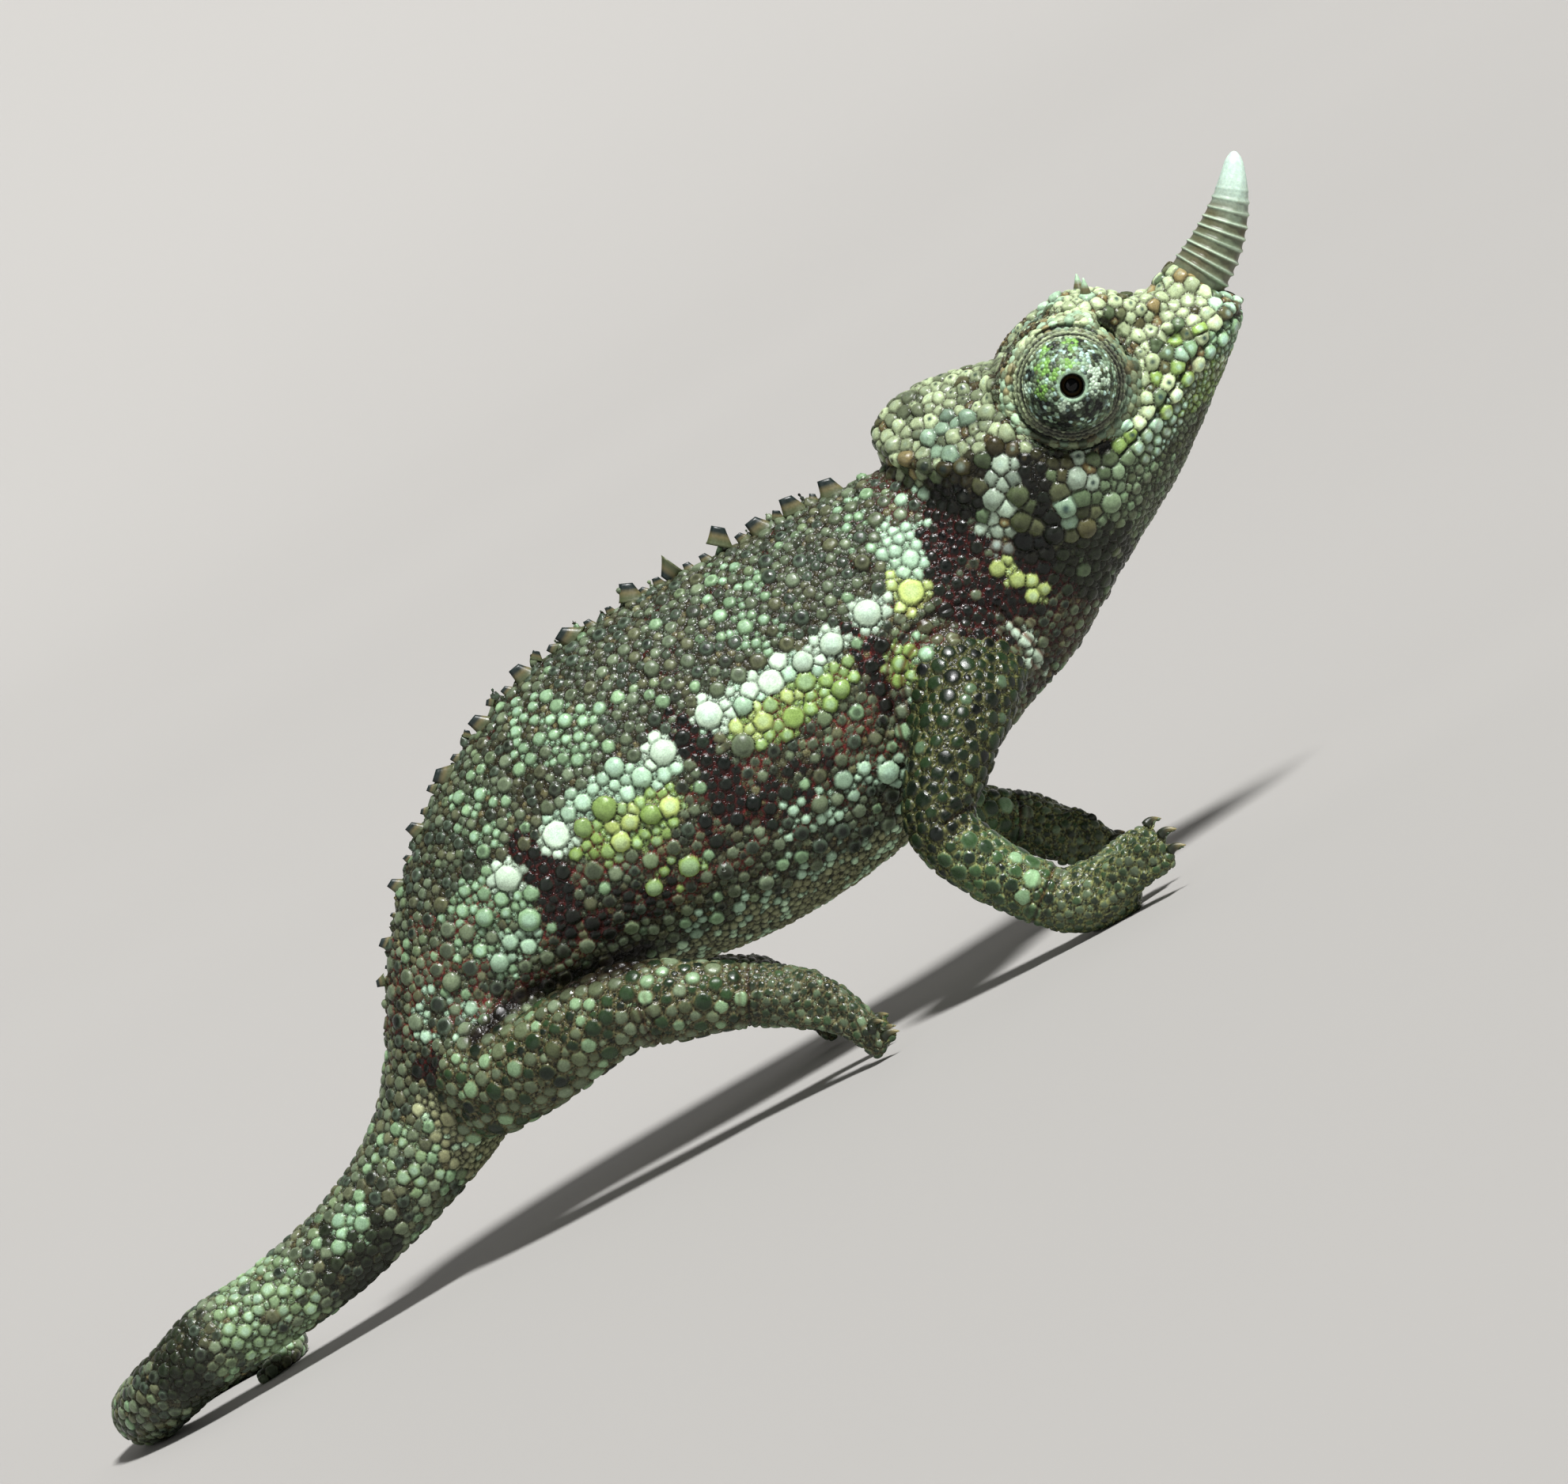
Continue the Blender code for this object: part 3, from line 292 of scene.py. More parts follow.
BLOTS = tuple(
    Blot(*place, Tone[tone], share)
    for *place, tone, share in (
        (-4.5, 30.4, 3.4, 3, "SAGE", 0.55), (11, 30.6, 2.6, 3.8, "SAGE", 0.5),
        (21, 31, 1.6, 2.6, "SAGE", 0.5), (-12, 27.5, 2.2, 2.4, "SAGE", 0.4),
        (3.5, 23, 1.5, 4.6, "COAL", 0.9), (-10.3, 21, 1.3, 4.4, "COAL", 0.9),
        (16.8, 22.6, 1.3, 3.8, "COAL", 0.9), (6, 18.6, 6.5, 1.8, "COAL", 0.45),
        (-6, 17, 3.4, 1.8, "COAL", 0.5), (24.6, 24.6, 1.7, 5.4, "COAL", 0.9),
        (9.8, 25.6, 5.8, 1.5, "MINT", 1), (10.4, 23.5, 4.8, 1.7, "LIME", 1),
        (9, 23.8, 3.4, 1.2, "YELLOW", 0.6), (14.4, 26, 1.6, 1.2, "WHITE", 1),
        (10, 26.2, 3.4, 0.9, "WHITE", 0.6), (5.4, 25.9, 1.5, 1.3, "WHITE", 1),
        (-3.2, 24.4, 5.8, 1.8, "MINT", 1), (-3.4, 22, 4.4, 1.8, "LIME", 1), (1, 25.4, 1.5, 1.3, "WHITE", 1),
        (-8, 23.9, 1.5, 1.3, "WHITE", 1), (-3, 21.8, 2.8, 1.2, "YELLOW", 0.5),
        (21.4, 26.4, 1.7, 1.6, "YELLOW", 0.95), (22.4, 28.8, 1.4, 2.2, "MINT", 0.95),
        (18.3, 26.5, 1.5, 1.3, "WHITE", 1), (-14.8, 20.6, 3.2, 3.6, "SAGE", 0.9),
        (-12.6, 22.9, 1.4, 1.4, "WHITE", 1), (-14.4, 18.4, 2, 1.6, "MINT", 0.5),
        (-20.8, 16.8, 3, 2.2, "MINT", 0.4), (-23.8, 14.2, 1.1, 1, "COAL", 0.95),
        (9.5, 16.6, 4.6, 1.7, "MINT", 0.35), (4, 13.2, 9, 1.4, "MINT", 0.3),
        (14.2, 16.2, 1.2, 1.1, "MINT", 0.85), (-2.6, 17.5, 2.4, 1.1, "LIME", 0.5),
        (18.4, 22.4, 1.5, 1.5, "LIME", 1), (20.2, 21.4, 1.1, 2.2, "SAGE", 0.9),
        (17.8, 18.7, 0.9, 1.7, "MINT", 0.85), (-42, 5, 3.6, 4, "BAND", 0.85),
        (-34.6, 5, 3.2, 4, "MOSS", 0.7), (-34, 6.9, 1.6, 1.4, "SAGE", 0.6), (-49, 5, 2.4, 4, "MOSS", 0.85),
        (-28.4, 9, 2.6, 2.6, "BAND", 0.35), (-51.5, 6.8, 0.7, 0.7, "MINT", 0.9),
        (30.5, 35, 5.4, 3, "CREAM", 0.92), (35.8, 37, 2.8, 2.4, "CREAM", 0.85),
        (29.3, 34.4, 2.6, 1.5, "MINT", 0.5), (26, 34.6, 1.4, 2.6, "CREAM", 0.75),
        (31.4, 37.4, 4.4, 0.9, "CREAM", 0.7), (28.6, 31.5, 4, 1.3, "BARK", 0.75),
        (25.4, 34.4, 0.9, 2, "TAN", 0.3), (33.2, 33.2, 1.4, 2.2, "CREAM", 0.7),
        (26.8, 29, 1.7, 2.8, "NIGHT", 0.85), (28.6, 23.4, 2.9, 3, "NIGHT", 0.95),
        (32.6, 28, 1, 3.2, "NIGHT", 0.92), (33.4, 21.6, 3.6, 2.4, "MOSS", 0.8),
        (31, 25, 1.3, 1.6, "COAL", 0.8), (37.6, 28.9, 1.2, 0.9, "NIGHT", 0.7),
        (31.6, 30.7, 0.9, 1.2, "WHITE", 0.9), (30.4, 28.8, 1.4, 1.7, "WHITE", 0.95),
        # The mauve spot at (28.6, 25.3) is painted shade on the lowest plate of the white column.
        (29.3, 27, 1.6, 1.5, "WHITE", 0.95), (28.6, 25.3, 0.9, 0.9, "MAUVE", 0.95),
        (36.4, 28, 1.1, 0.9, "WHITE", 0.9), (35, 27, 1.2, 1.1, "WHITE", 0.95),
        (33.7, 25.7, 1, 0.9, "MINT", 0.9), (28, 24, 0.9, 1.1, "YELLOW", 0.95),
        (29, 21.8, 0.8, 1, "YELLOW", 0.85), (26.7, 18.6, 1, 2.2, "WHITE", 0.75),
        (24.6, 30.8, 1.2, 1.6, "MINT", 0.5), (47, 34.2, 4.4, 2, "CREAM", 0.9),
        (48, 35.2, 2.2, 1, "TAN", 0.3), (40.6, 37.6, 4.6, 1.6, "CREAM", 0.85), (40, 38, 3, 0.8, "MINT", 0.4),
        (45.6, 31.2, 4.6, 1.1, "LIME", 0.85), (45.6, 31, 4.6, 1, "CREAM", 0.5),
        (43.6, 30.4, 2.8, 1.3, "MINT", 0.5), (40.6, 28.2, 1.9, 1.3, "MINT", 0.5),
        (44, 28.6, 5.4, 1.7, "LIME", 0.8), (44.4, 28.9, 4.8, 1, "CREAM", 0.45),
        (48.6, 30.4, 2.4, 1.1, "SAGE", 0.85), (50.4, 33, 1.4, 1.2, "MINT", 0.6),
        (43.2, 33, 1, 1.6, "CREAM", 0.6),
    )
)


@dataclass(frozen=True)
class Muscle:
    """A swelling under the skin that joins a limb to the trunk, an ellipsoid on both sides.

    Args:
        place: Its middle, on the left side.
        radii: Its radii along the body, out and up.
    """

    place: tuple
    radii: tuple


MUSCLES = (
    Muscle((20.6, 5.4, 19.6), (3.6, 3.0, 3.6)),
    Muscle((-19.6, 4.6, 13.0), (4.6, 2.6, 3.2)),
)


@dataclass(frozen=True)
class Fold:
    """A few folds of skin across a limb.

    Args:
        place: Their middle.
        way: Direction along the limb.
        pitch: Distance from fold to fold.
        spread: Length of limb that they take, to either side.
    """

    place: tuple
    way: tuple
    pitch: float = 0.62
    spread: float = 0.8

    def depth(self, points: Array) -> Array:
        """How deep each point lies in a fold, from 0 to 1."""
        way = np.asarray(self.way) / np.linalg.norm(self.way)
        offset = points - np.asarray(self.place)
        along = offset @ way
        near = 1 - smoothstep(2.6, 3.4, np.linalg.norm(offset, axis=1))
        wave = 0.5 + 0.5 * np.cos(along * tau / self.pitch)
        return near * bell(along, self.spread) * wave**2


FOLDS = (
    Fold((19.0, -11.4, 4.1), (1.9, -0.3, -2.4)), Fold((19.8, 12.3, 7.2), (1.8, 0.7, -1.3)),
    Fold((16.2, -9.8, 11.2), (0.3, -0.6, -2.4)), Fold((16.8, 9.6, 12.0), (0.3, 0.8, -2.0)),
    Fold((-8.6, -9.8, 10.2), (2.6, -0.7, -0.6)), Fold((-11.2, 9.8, 10.2), (2.6, 0.7, -0.6)),
    Fold((-2.0, -10.8, 8.0), (2.5, -0.3, -1.3)), Fold((-4.6, 10.8, 8.0), (2.5, 0.3, -1.3)),
)

# Marks in profile: the shoulder, the groin's line, the cheek's plates and the casque's borders.
SHOULDER = (21.6, 17.6)
GROIN = ((-20.0, 14.7), (-15.9, 15.5), (-11.0, 14.7), (-6.6, 13.9))
CHEEK = ((31.8, 31.0), (30.4, 28.8), (29.2, 26.6), (28.6, 25.0), (35.0, 27.0), (36.6, 28.2))
CASQUE_RIM = ((24.9, 36.3), (26.0, 37.3), (28.2, 37.7), (31.0, 37.4), (33.6, 36.4))
CASQUE_EDGE = ((24.9, 36.0), (25.4, 34.4), (26.7, 33.2), (28.8, 31.9), (31.4, 32.4), (33.4, 33.4))


@dataclass(frozen=True)
class Plate:
    """A large scale that stands at a known place in profile.

    Args:
        x: Place along the body.
        z: Height.
        radius: Its radius.
    """

    x: float
    z: float
    radius: float


PLATES = tuple(
    Plate(*row)
    for row in (
        (21.9, 31.6, 0.6), (19.6, 29.6, 0.6), (22.6, 28.2, 0.7), (21.5, 26.2, 0.95), (18.2, 26.6, 1),
        (18.4, 22.4, 0.6), (13.6, 31.9, 0.55), (10.4, 29.8, 0.6), (15, 26, 0.85), (12.6, 25.9, 0.75),
        (10, 25.8, 0.9), (7.6, 25.4, 0.7), (5.2, 26, 1), (14, 22.9, 0.7), (10.2, 23, 0.8), (6.2, 23, 0.85),
        (3.4, 30.6, 0.6), (1.2, 25.3, 0.95), (-0.9, 24.6, 0.75), (-2.2, 26.1, 0.75), (-4.2, 24, 0.9),
        (-6.2, 23.6, 0.7), (-8, 23.9, 1), (-1.6, 22, 0.75), (-4.4, 21.4, 0.75), (-7, 20.6, 0.7),
        (-3.6, 30.4, 0.55), (-9.4, 28.6, 0.6), (-12.5, 23, 0.95), (-12.6, 19.8, 0.85), (-15.2, 21.4, 0.7),
        (-15.8, 18.2, 0.7), (-17.4, 23.6, 0.55), (-19.4, 18.6, 0.7), (-21.4, 16.2, 0.65), (14, 16.2, 0.85),
        (11, 17.4, 0.7), (8.7, 16.8, 0.65), (7.3, 14.2, 0.6), (2.8, 13.8, 0.6), (0.8, 16, 0.65),
        (-1.2, 17.6, 0.8), (-4, 17.5, 0.65), (4.8, 19.2, 0.6), (27.5, 24.6, 0.6), (28.3, 23.2, 0.6),
        (28.7, 21.8, 0.55), (26.8, 19.2, 0.6), (-34.5, 8, 0.6), (-33.2, 7, 0.6), (-35.4, 6.4, 0.55),
        (-31, 5.3, 0.55), (-38.4, 5.6, 0.6), (-41.2, 6.2, 0.6), (-44, 4.6, 0.55),
    )
)
HEAD_PLATES = tuple(
    Plate(*row)
    for row in (
        (25.6, 35.4, 0.56), (25.9, 34.2, 0.56), (26.7, 33.2, 0.56), (27.8, 32.4, 0.56), (29, 31.8, 0.56),
        (30.3, 31.6, 0.56), (31.6, 31.9, 0.56), (32.8, 32.5, 0.56), (26.6, 36.4, 0.5), (28.2, 36.7, 0.5),
        (29.9, 36.7, 0.5), (31.6, 36.4, 0.5), (33.2, 35.9, 0.5), (27.8, 34.9, 0.66), (29.3, 34.2, 0.66),
        (30.8, 34.9, 0.66), (32.2, 34.4, 0.66), (28.6, 33.2, 0.66), (29.6, 28.9, 0.74), (31.2, 28.3, 0.74),
        (30.4, 26.6, 0.74), (33.6, 25.9, 0.74), (35.3, 27.3, 0.74), (34.2, 23.9, 0.74), (32, 24.6, 0.74),
        (36.6, 24.6, 0.74), (44, 33.6, 0.55), (43.9, 31.6, 0.55), (45.9, 30.9, 0.55), (47.8, 31.7, 0.55),
        (42.3, 29.6, 0.55), (40.2, 28.6, 0.55), (29.2, 30.2, 0.6), (36.2, 28.6, 0.5),
    )
)

# Limits in profile: the belly's top, the front of the hind limbs, the elbow and the lower jaw's line.
BELLY_TOP = 12.8
HIND_BEFORE_X = 5
ELBOW_Z = 11
JAW_SLOPE, JAW_HINGE_X = 0.75, 37.0

# From which share a blot covers its scales wholly, and from which level a place counts as in a bar.
FULL_SHARE = 0.6
BAR_LEVEL = 0.5

# The plates along the lips: distance, height from the mouth's line and radius.
LIP_PITCH, LIP_RISE, LIP_RADIUS = 1.1, 0.62, 0.56


def read(
    rows: bpy.types.bpy_prop_collection, name: str, width: int = 1, kind: type = np.float32
) -> Array:
    """Reads one property of all vertices, edges, corners or polygons of a mesh.

    Args:
        rows: The mesh's collection.
        name: The property.
        width: How many numbers one value has.
        kind: Their type.

    Returns:
        A row for each value, or a plain array where the width is one.
    """
    values = np.empty(len(rows) * width, kind)
    rows.foreach_get(name, values)
    return values.reshape(-1, width) if width > 1 else values


def move(mesh: Mesh, points: Array) -> None:
    """Gives the vertices of a mesh new places."""
    mesh.vertices.foreach_set("co", points.astype(np.float32).ravel())
    mesh.update()


def mesh_of(bm: bmesh.types.BMesh, name: str, smooth: bool = True) -> Mesh:
    """Turns a bmesh into a mesh and frees it."""
    mesh = bpy.data.meshes.new(name)
    bm.to_mesh(mesh)
    bm.free()
    if smooth:
        mesh.shade_smooth()
    return mesh


def joined(shells: Iterable[Mesh], name: str) -> Mesh:
    """Puts meshes together as one and removes them."""
    bm = bmesh.new()
    for shell in shells:
        bm.from_mesh(shell)
        bpy.data.meshes.remove(shell)
    return mesh_of(bm, name)


def linked(name: str, data: bpy.types.ID) -> Object:
    """A new object in the scene."""
    made = bpy.data.objects.new(name, data)
    bpy.context.scene.collection.objects.link(made)
    return made


def modified(mesh: Mesh, kind: str, **settings: Union[str, float]) -> Mesh:
    """The mesh with one modifier applied.

    Args:
        mesh: The mesh, which stays as it is.
        kind: The modifier's type.
        settings: Its properties.

    Returns:
        The new mesh.
    """
    carrier = linked(mesh.name, mesh)
    modifier = carrier.modifiers.new(kind.lower(), kind)
    for name, value in settings.items():
        setattr(modifier, name, value)
    bpy.context.view_layer.update()
    graph = bpy.context.evaluated_depsgraph_get()
    made = bpy.data.meshes.new_from_object(carrier.evaluated_get(graph))
    bpy.data.objects.remove(carrier)
    return made


@dataclass
class Surface:
    """A mesh as arrays, in body millimetres.

    Args:
        points: Places of the vertices.
        normals: Their normals.
    """

    points: Array
    normals: Array

    @classmethod
    def of(cls, mesh: Mesh) -> "Surface":
        """Reads a mesh whose coordinates are body millimetres."""
        return cls(*(read(mesh.vertices, name, 3).astype(float) for name in ("co", "normal")))


@dataclass
class Scatter:
    """Scales thrown so far, kept in cubes so that those nearby are found fast.

    Args:
        centres: Their places.
        radii: Their radii.
        cubes: Place and radius of the scales in each cube.
    """

    centres: list[tuple] = field(default_factory=list)
    radii: list[float] = field(default_factory=list)
    cubes: dict[tuple, list] = field(default_factory=lambda: defaultdict(list))

    CUBE = 1.3
    NESTLE = 0.74
    AROUND = tuple(product((-1, 0, 1), repeat=3))

    def add(self, place: tuple, radius: float) -> None:
        """Adds a scale."""
        self.cubes[tuple(int(c // self.CUBE) for c in place)].append((*place, radius))
        self.centres.append(place)
        self.radii.append(radius)

    def is_clear(self, place: tuple, cube: tuple, radius: float, crowd: float) -> bool:
        """Whether a scale would stand clear of those already there.

        Args:
            place: Its centre.
            cube: The cube that the centre lies in.
            radius: Its radius.
            crowd: How far apart scales stand, as a share of their radii.

        Returns:
            True if it does.
        """
        x, y, z = place
        i, j, k = cube
        for di, dj, dk in self.AROUND:
            for cx, cy, cz, other in self.cubes.get((i + di, j + dj, k + dk), ()):
                reach = crowd * (max(radius, other) + self.NESTLE * min(radius, other))
                if (cx - x) ** 2 + (cy - y) ** 2 + (cz - z) ** 2 < reach * reach:
                    return False
        return True


@dataclass
class Mosaic:
    """Scales laid over a surface: centres, radii, and for each vertex its scale and place in it.

    Args:
        centres: Places of the scales.
        radii: Their radii.
    """

    centres: Array
    radii: Array
    # Set by lay, for each vertex: its scale, its distance from the scale's centre in radii, and how
    # far inside the scale's edge it lies, in millimetres.
    owner: Array = field(init=False)
    inner: Array = field(init=False)
    margin: Array = field(init=False)

    NEIGHBOURS = 5
    LARGE = 0.38
    BEVEL = 0.11
    DOME_REACH = 1.15

    @classmethod
    def scattered(
        cls, points: Array, fixed: Iterable[tuple], classes: Sequence[tuple[Array, float]], seed: int
    ) -> "Mosaic":
        """Throws scales on a surface, class by class, where they don't crowd those already there.

        Args:
            points: Places that a scale's centre may take.
            fixed: Pairs of a place and a radius that come first.
            classes: For each class the radius wanted at each point, and how far apart scales stand.
            seed: Seed of the order in which the points are tried.

        Returns:
            The mosaic, not yet laid over vertices.
        """
        draw = default_rng(seed)
        thrown = Scatter()
        for place, radius in fixed:
            thrown.add(tuple(float(c) for c in place), float(radius))
        for wanted, crowd in classes:
            order = draw.permutation(np.nonzero(wanted > 0)[0])
            cubes = np.floor(points[order] / Scatter.CUBE).astype(int).tolist()
            for index, cube in zip(order.tolist(), cubes):
                place, radius = tuple(points[index].tolist()), float(wanted[index])
                if thrown.is_clear(place, cube, radius, crowd):
                    thrown.add(place, radius)
        return cls(np.asarray(thrown.centres), np.asarray(thrown.radii))

    def lay(self, points: Array, opening: Array, rounds: int = 1) -> None:
        """Gives every vertex to a scale, with straight borders between those that meet.

        Args:
            points: Places of the vertices.
            opening: For each vertex, how far a scale may reach beyond its radius.
            rounds: How often the centres first move to the middle of a share of their vertices.
        """
        for _ in range(rounds):
            self._assign(points[::3], opening[::3])
            weight = np.bincount(self.owner, minlength=len(self.centres))
            for axis in range(3):
                total = np.bincount(self.owner, points[::3, axis], minlength=len(self.centres))
                middle = total / weight.clip(1)
                self.centres[:, axis] = np.where(weight > 3, middle, self.centres[:, axis])
        self._assign(points, opening)

    def _assign(self, points: Array, opening: Array) -> None:
        """Finds each point's scale and its place in it, among the nearest large and small scales."""
        near, far = [], []
        large = self.radii > self.LARGE
        for chosen in (np.nonzero(large)[0], np.nonzero(~large)[0]):
            if not len(chosen):
                continue
            tree = tree_of(self.centres[chosen])
            many = min(self.NEIGHBOURS, len(chosen))
            near.append(np.empty((len(points), many), np.int32))
            far.append(np.empty((len(points), many), np.float32))
            for row, place in enumerate(points):
                found = tree.find_n(place, many)
                near[-1][row] = [hit[1] for hit in found]
                far[-1][row] = [hit[2] for hit in found]
            near[-1] = chosen[near[-1]].astype(np.int32)
        near, far = np.concatenate(near, axis=1), np.concatenate(far, axis=1)
        power = far**2 - self.radii[near].astype(np.float32) ** 2
        rows, best = np.arange(len(points)), np.argmin(power, axis=1)
        self.owner = near[rows, best]
        own = far[rows, best]
        self.inner = own / self.radii[self.owner]
        self.margin = self.radii[self.owner] + opening - own
        held = self.centres.astype(np.float32)
        for column in range(near.shape[1]):
            apart = np.linalg.norm(held[near[:, column]] - held[self.owner], axis=1)
            inside = (power[:, column] - power[rows, best]) / (2 * apart).clip(1e-6)
            self.margin = np.where(apart > 1e-6, np.minimum(self.margin, inside), self.margin)
        self.margin = self.margin.clip(0)

    def relief(self, lift: Array) -> Array:
        """Height of each vertex over the grooves.

        Args:
            lift: Height of each scale's middle.

        Returns:
            The height at each vertex.
        """
        rise = smoothstep(0.0, self.BEVEL, self.margin)
        dome = np.sqrt(np.clip(1.0 - (self.inner / self.DOME_REACH) ** 2, 0.0, 1.0))
        return lift[self.owner] * rise * (0.3 + 0.7 * dome)


class Wire:
    """A shader socket that takes part in arithmetic."""

    def __init__(self, graph: "Graph", socket: bpy.types.NodeSocket) -> None:
        """Wraps a socket of a graph."""
        self.graph = graph
        self.socket = socket

    @property
    def is_vector(self) -> bool:
        """Whether the socket carries three numbers."""
        return self.socket.type in {"VECTOR", "RGBA"}

    def _join(self, operation: str, other: "Operand", swap: bool = False) -> "Wire":
        """A maths node on this wire and another operand, in their order or swapped."""
        first, second = (other, self) if swap else (self, other)
        vector = self.is_vector or (isinstance(other, Wire) and other.is_vector)
        kind = "ShaderNodeVectorMath" if vector else "ShaderNodeMath"
        return self.graph.add(kind, {"operation": operation}, first, second)

    def __add__(self, other: "Operand") -> "Wire":
        """This plus other."""
        return self._join("ADD", other)

    def __radd__(self, other: "Operand") -> "Wire":
        """Other plus this."""
        return self._join("ADD", other, swap=True)

    def __sub__(self, other: "Operand") -> "Wire":
        """This less other."""
        return self._join("SUBTRACT", other)

    def __rsub__(self, other: "Operand") -> "Wire":
        """Other less this."""
        return self._join("SUBTRACT", other, swap=True)

    def __mul__(self, other: "Operand") -> "Wire":
        """This times other."""
        return self._join("MULTIPLY", other)

    def __rmul__(self, other: "Operand") -> "Wire":
        """Other times this."""
        return self._join("MULTIPLY", other, swap=True)

    def step(self, low: float, high: float, start: float = 0.0, end: float = 1.0) -> "Wire":
        """A soft step from start at low to end at high."""
        settings = {"interpolation_type": "SMOOTHSTEP"}
        return self.graph.add("ShaderNodeMapRange", settings, self, low, high, start, end)


Operand = Union[Wire, float, tuple]


@dataclass
class Graph:
    """A material's node tree, built from wires.

    Args:
        name: The material's name.
    """

    name: str

    def __post_init__(self) -> None:
        """Makes the material with its shader."""
        self.material = bpy.data.materials.new(self.name)
        self.material.use_nodes = True
        self.tree = self.material.node_tree
        self.shader = self.tree.nodes["Principled BSDF"]

    def add(self, kind: str, settings: Optional[dict] = None, *inputs: Operand, output: int = 0) -> Wire:
        """Adds a node.

        Args:
            kind: The node's class.
            settings: Its properties.
            inputs: Values or wires for its inputs, in order; None leaves one as it is.
            output: Number of the output that is returned.

        Returns:
            The output's wire.
        """
        node = self.tree.nodes.new(kind)
        for key, value in (settings or {}).items():
            setattr(node, key, value)
        sockets = [socket for socket in node.inputs if socket.enabled]
        for socket, value in zip(sockets, inputs):
            self.feed(socket, value)
        return Wire(self, node.outputs[output])

    def feed(self, socket: bpy.types.NodeSocket, value: Optional[Operand]) -> None:
        """Sets or links one input."""
        if value is None:
            return
        if isinstance(value, Wire):
            self.tree.links.new(value.socket, socket)
        elif socket.type == "RGBA" and len(value) == 3:
            socket.default_value = (*value, 1.0)
        elif socket.type == "VECTOR" and not isinstance(value, (tuple, list)):
            socket.default_value = (value, value, value)
        else:
            socket.default_value = value

    def attribute(self, name: str, colour: bool = False) -> Wire:
        """A named attribute of the mesh."""
        return self.add("ShaderNodeAttribute", {"attribute_name": name}, output=0 if colour else 2)

    def place(self) -> Wire:
        """Object coordinates in metres."""
        return self.add("ShaderNodeTexCoord", output=3)

    def noise(self, scale: float, detail: float = 3.0, rough: float = 0.5) -> Wire:
        """Noise over the object's coordinates, from 0 to 1."""
        return self.add("ShaderNodeTexNoise", None, self.place(), scale, detail, rough)

    def granules(self, scale: float) -> Wire:
        """Distance to the edge of small cells over the object's coordinates."""
        return self.add("ShaderNodeTexVoronoi", {"feature": "DISTANCE_TO_EDGE"}, self.place(), scale)

    def mix(self, share: Operand, one: Operand, two: Operand) -> Wire:
        """Mixes two colours."""
        return self.add("ShaderNodeMix", {"data_type": "RGBA"}, share, one, two, output=2)

    def bump(self, height: Wire, strength: float, distance: float) -> Wire:
        """A bump from a height."""
        return self.add("ShaderNodeBump", None, strength, distance, None, height)

    def surface(self, **inputs: Operand) -> Material:
        """Feeds the shader's inputs by name, with _ for a space, and returns the material."""
        for name, value in inputs.items():
            self.feed(self.shader.inputs[name.replace("_", " ")], value)
        return self.material


@dataclass(frozen=True)
class SkinFinish:
    """Scaled skin, whose colour comes from the mesh's own tint.

    Args:
        name: The material's name.
        roughness: Middle roughness.
        grain: Depth of the fine bump, in metres.
        granules: Number of the finest granules in a metre.
    """

    name: str = "scaled_skin"
    roughness: float = 0.31
    grain: float = 0.00004
    granules: float = 3600.0

    def build(self) -> Material:
        """Makes the material."""
        graph = Graph(self.name)
        tint = graph.attribute("tint", colour=True)
        fine = graph.noise(9000.0, 3.0, 0.6)
        soft = graph.noise(2600.0, 2.0, 0.5)
        edge = graph.granules(self.granules).step(0.02, 0.16)
        small = graph.attribute("small")
        pits = small * (1.0 - edge)
        tinted = tint * (fine.step(0.25, 0.75, 0.8, 1.18) * soft.step(0.2, 0.8, 0.86, 1.12))
        # Painted shade in the pits between the fine granules of small scales and grooves; the pits also sink in
        # the bump.
        tinted = tinted * (1.0 - 0.5 * pits)
        rough = soft.step(0.2, 0.8, self.roughness - 0.12, self.roughness + 0.12)
        height = fine * 0.4 + (1.0 - pits)
        return graph.surface(
            Base_Color=tinted, Roughness=rough, Normal=graph.bump(height, 0.6, self.grain),
            Specular_IOR_Level=0.32,
        )


@dataclass(frozen=True)
class HornFinish:
    """Ringed horn and claws, tinted by the mesh, with fine lengthwise fibres.

    Args:
        name: The material's name.
        roughness: Middle roughness.
    """

    name: str = "ringed_horn"
    roughness: float = 0.42

    def build(self) -> Material:
        """Makes the material."""
        graph = Graph(self.name)
        tint = graph.attribute("tint", colour=True)
        fibre = graph.noise(5200.0, 4.0, 0.65)
        tinted = tint * fibre.step(0.2, 0.8, 0.8, 1.15)
        rough = fibre.step(0.2, 0.8, self.roughness - 0.08, self.roughness + 0.14)
        return graph.surface(
            Base_Color=tinted, Roughness=rough, Normal=graph.bump(fibre, 0.4, 0.00003),
            Subsurface_Weight=0.12, Subsurface_Radius=(0.0012, 0.0009, 0.0005), Subsurface_Scale=0.5,
        )


@dataclass(frozen=True)
class EyeFinish:
    """The wet eyeball: a black pupil in a thin gold ring.

    Args:
        name: The material's name.
    """

    name: str = "wet_eye"

    def build(self) -> Material:
        """Makes the material."""
        graph = Graph(self.name)
        tint = graph.attribute("tint", colour=True)
        speck = graph.noise(14000.0, 2.0, 0.5)
        return graph.surface(
            Base_Color=tint * speck.step(0.2, 0.8, 0.8, 1.2), Roughness=speck.step(0.0, 1.0, 0.05, 0.12),
            Coat_Weight=0.2, Coat_Roughness=0.03, Specular_IOR_Level=0.15,
        )


@dataclass(frozen=True)
class FloorFinish:
    """A plain pale floor.

    Args:
        name: The material's name.
        colour: Its linear colour.
    """

    name: str = "pale_floor"
    colour: tuple = (0.37, 0.36, 0.345)

    def build(self) -> Material:
        """Makes the material."""
        graph = Graph(self.name)
        cloud = graph.noise(3.0, 2.0, 0.5)
        tint = graph.mix(cloud.step(0.3, 0.7), self.colour, tuple(0.97 * part for part in self.colour))
        return graph.surface(Base_Color=tint, Roughness=0.75, Specular_IOR_Level=0.2)


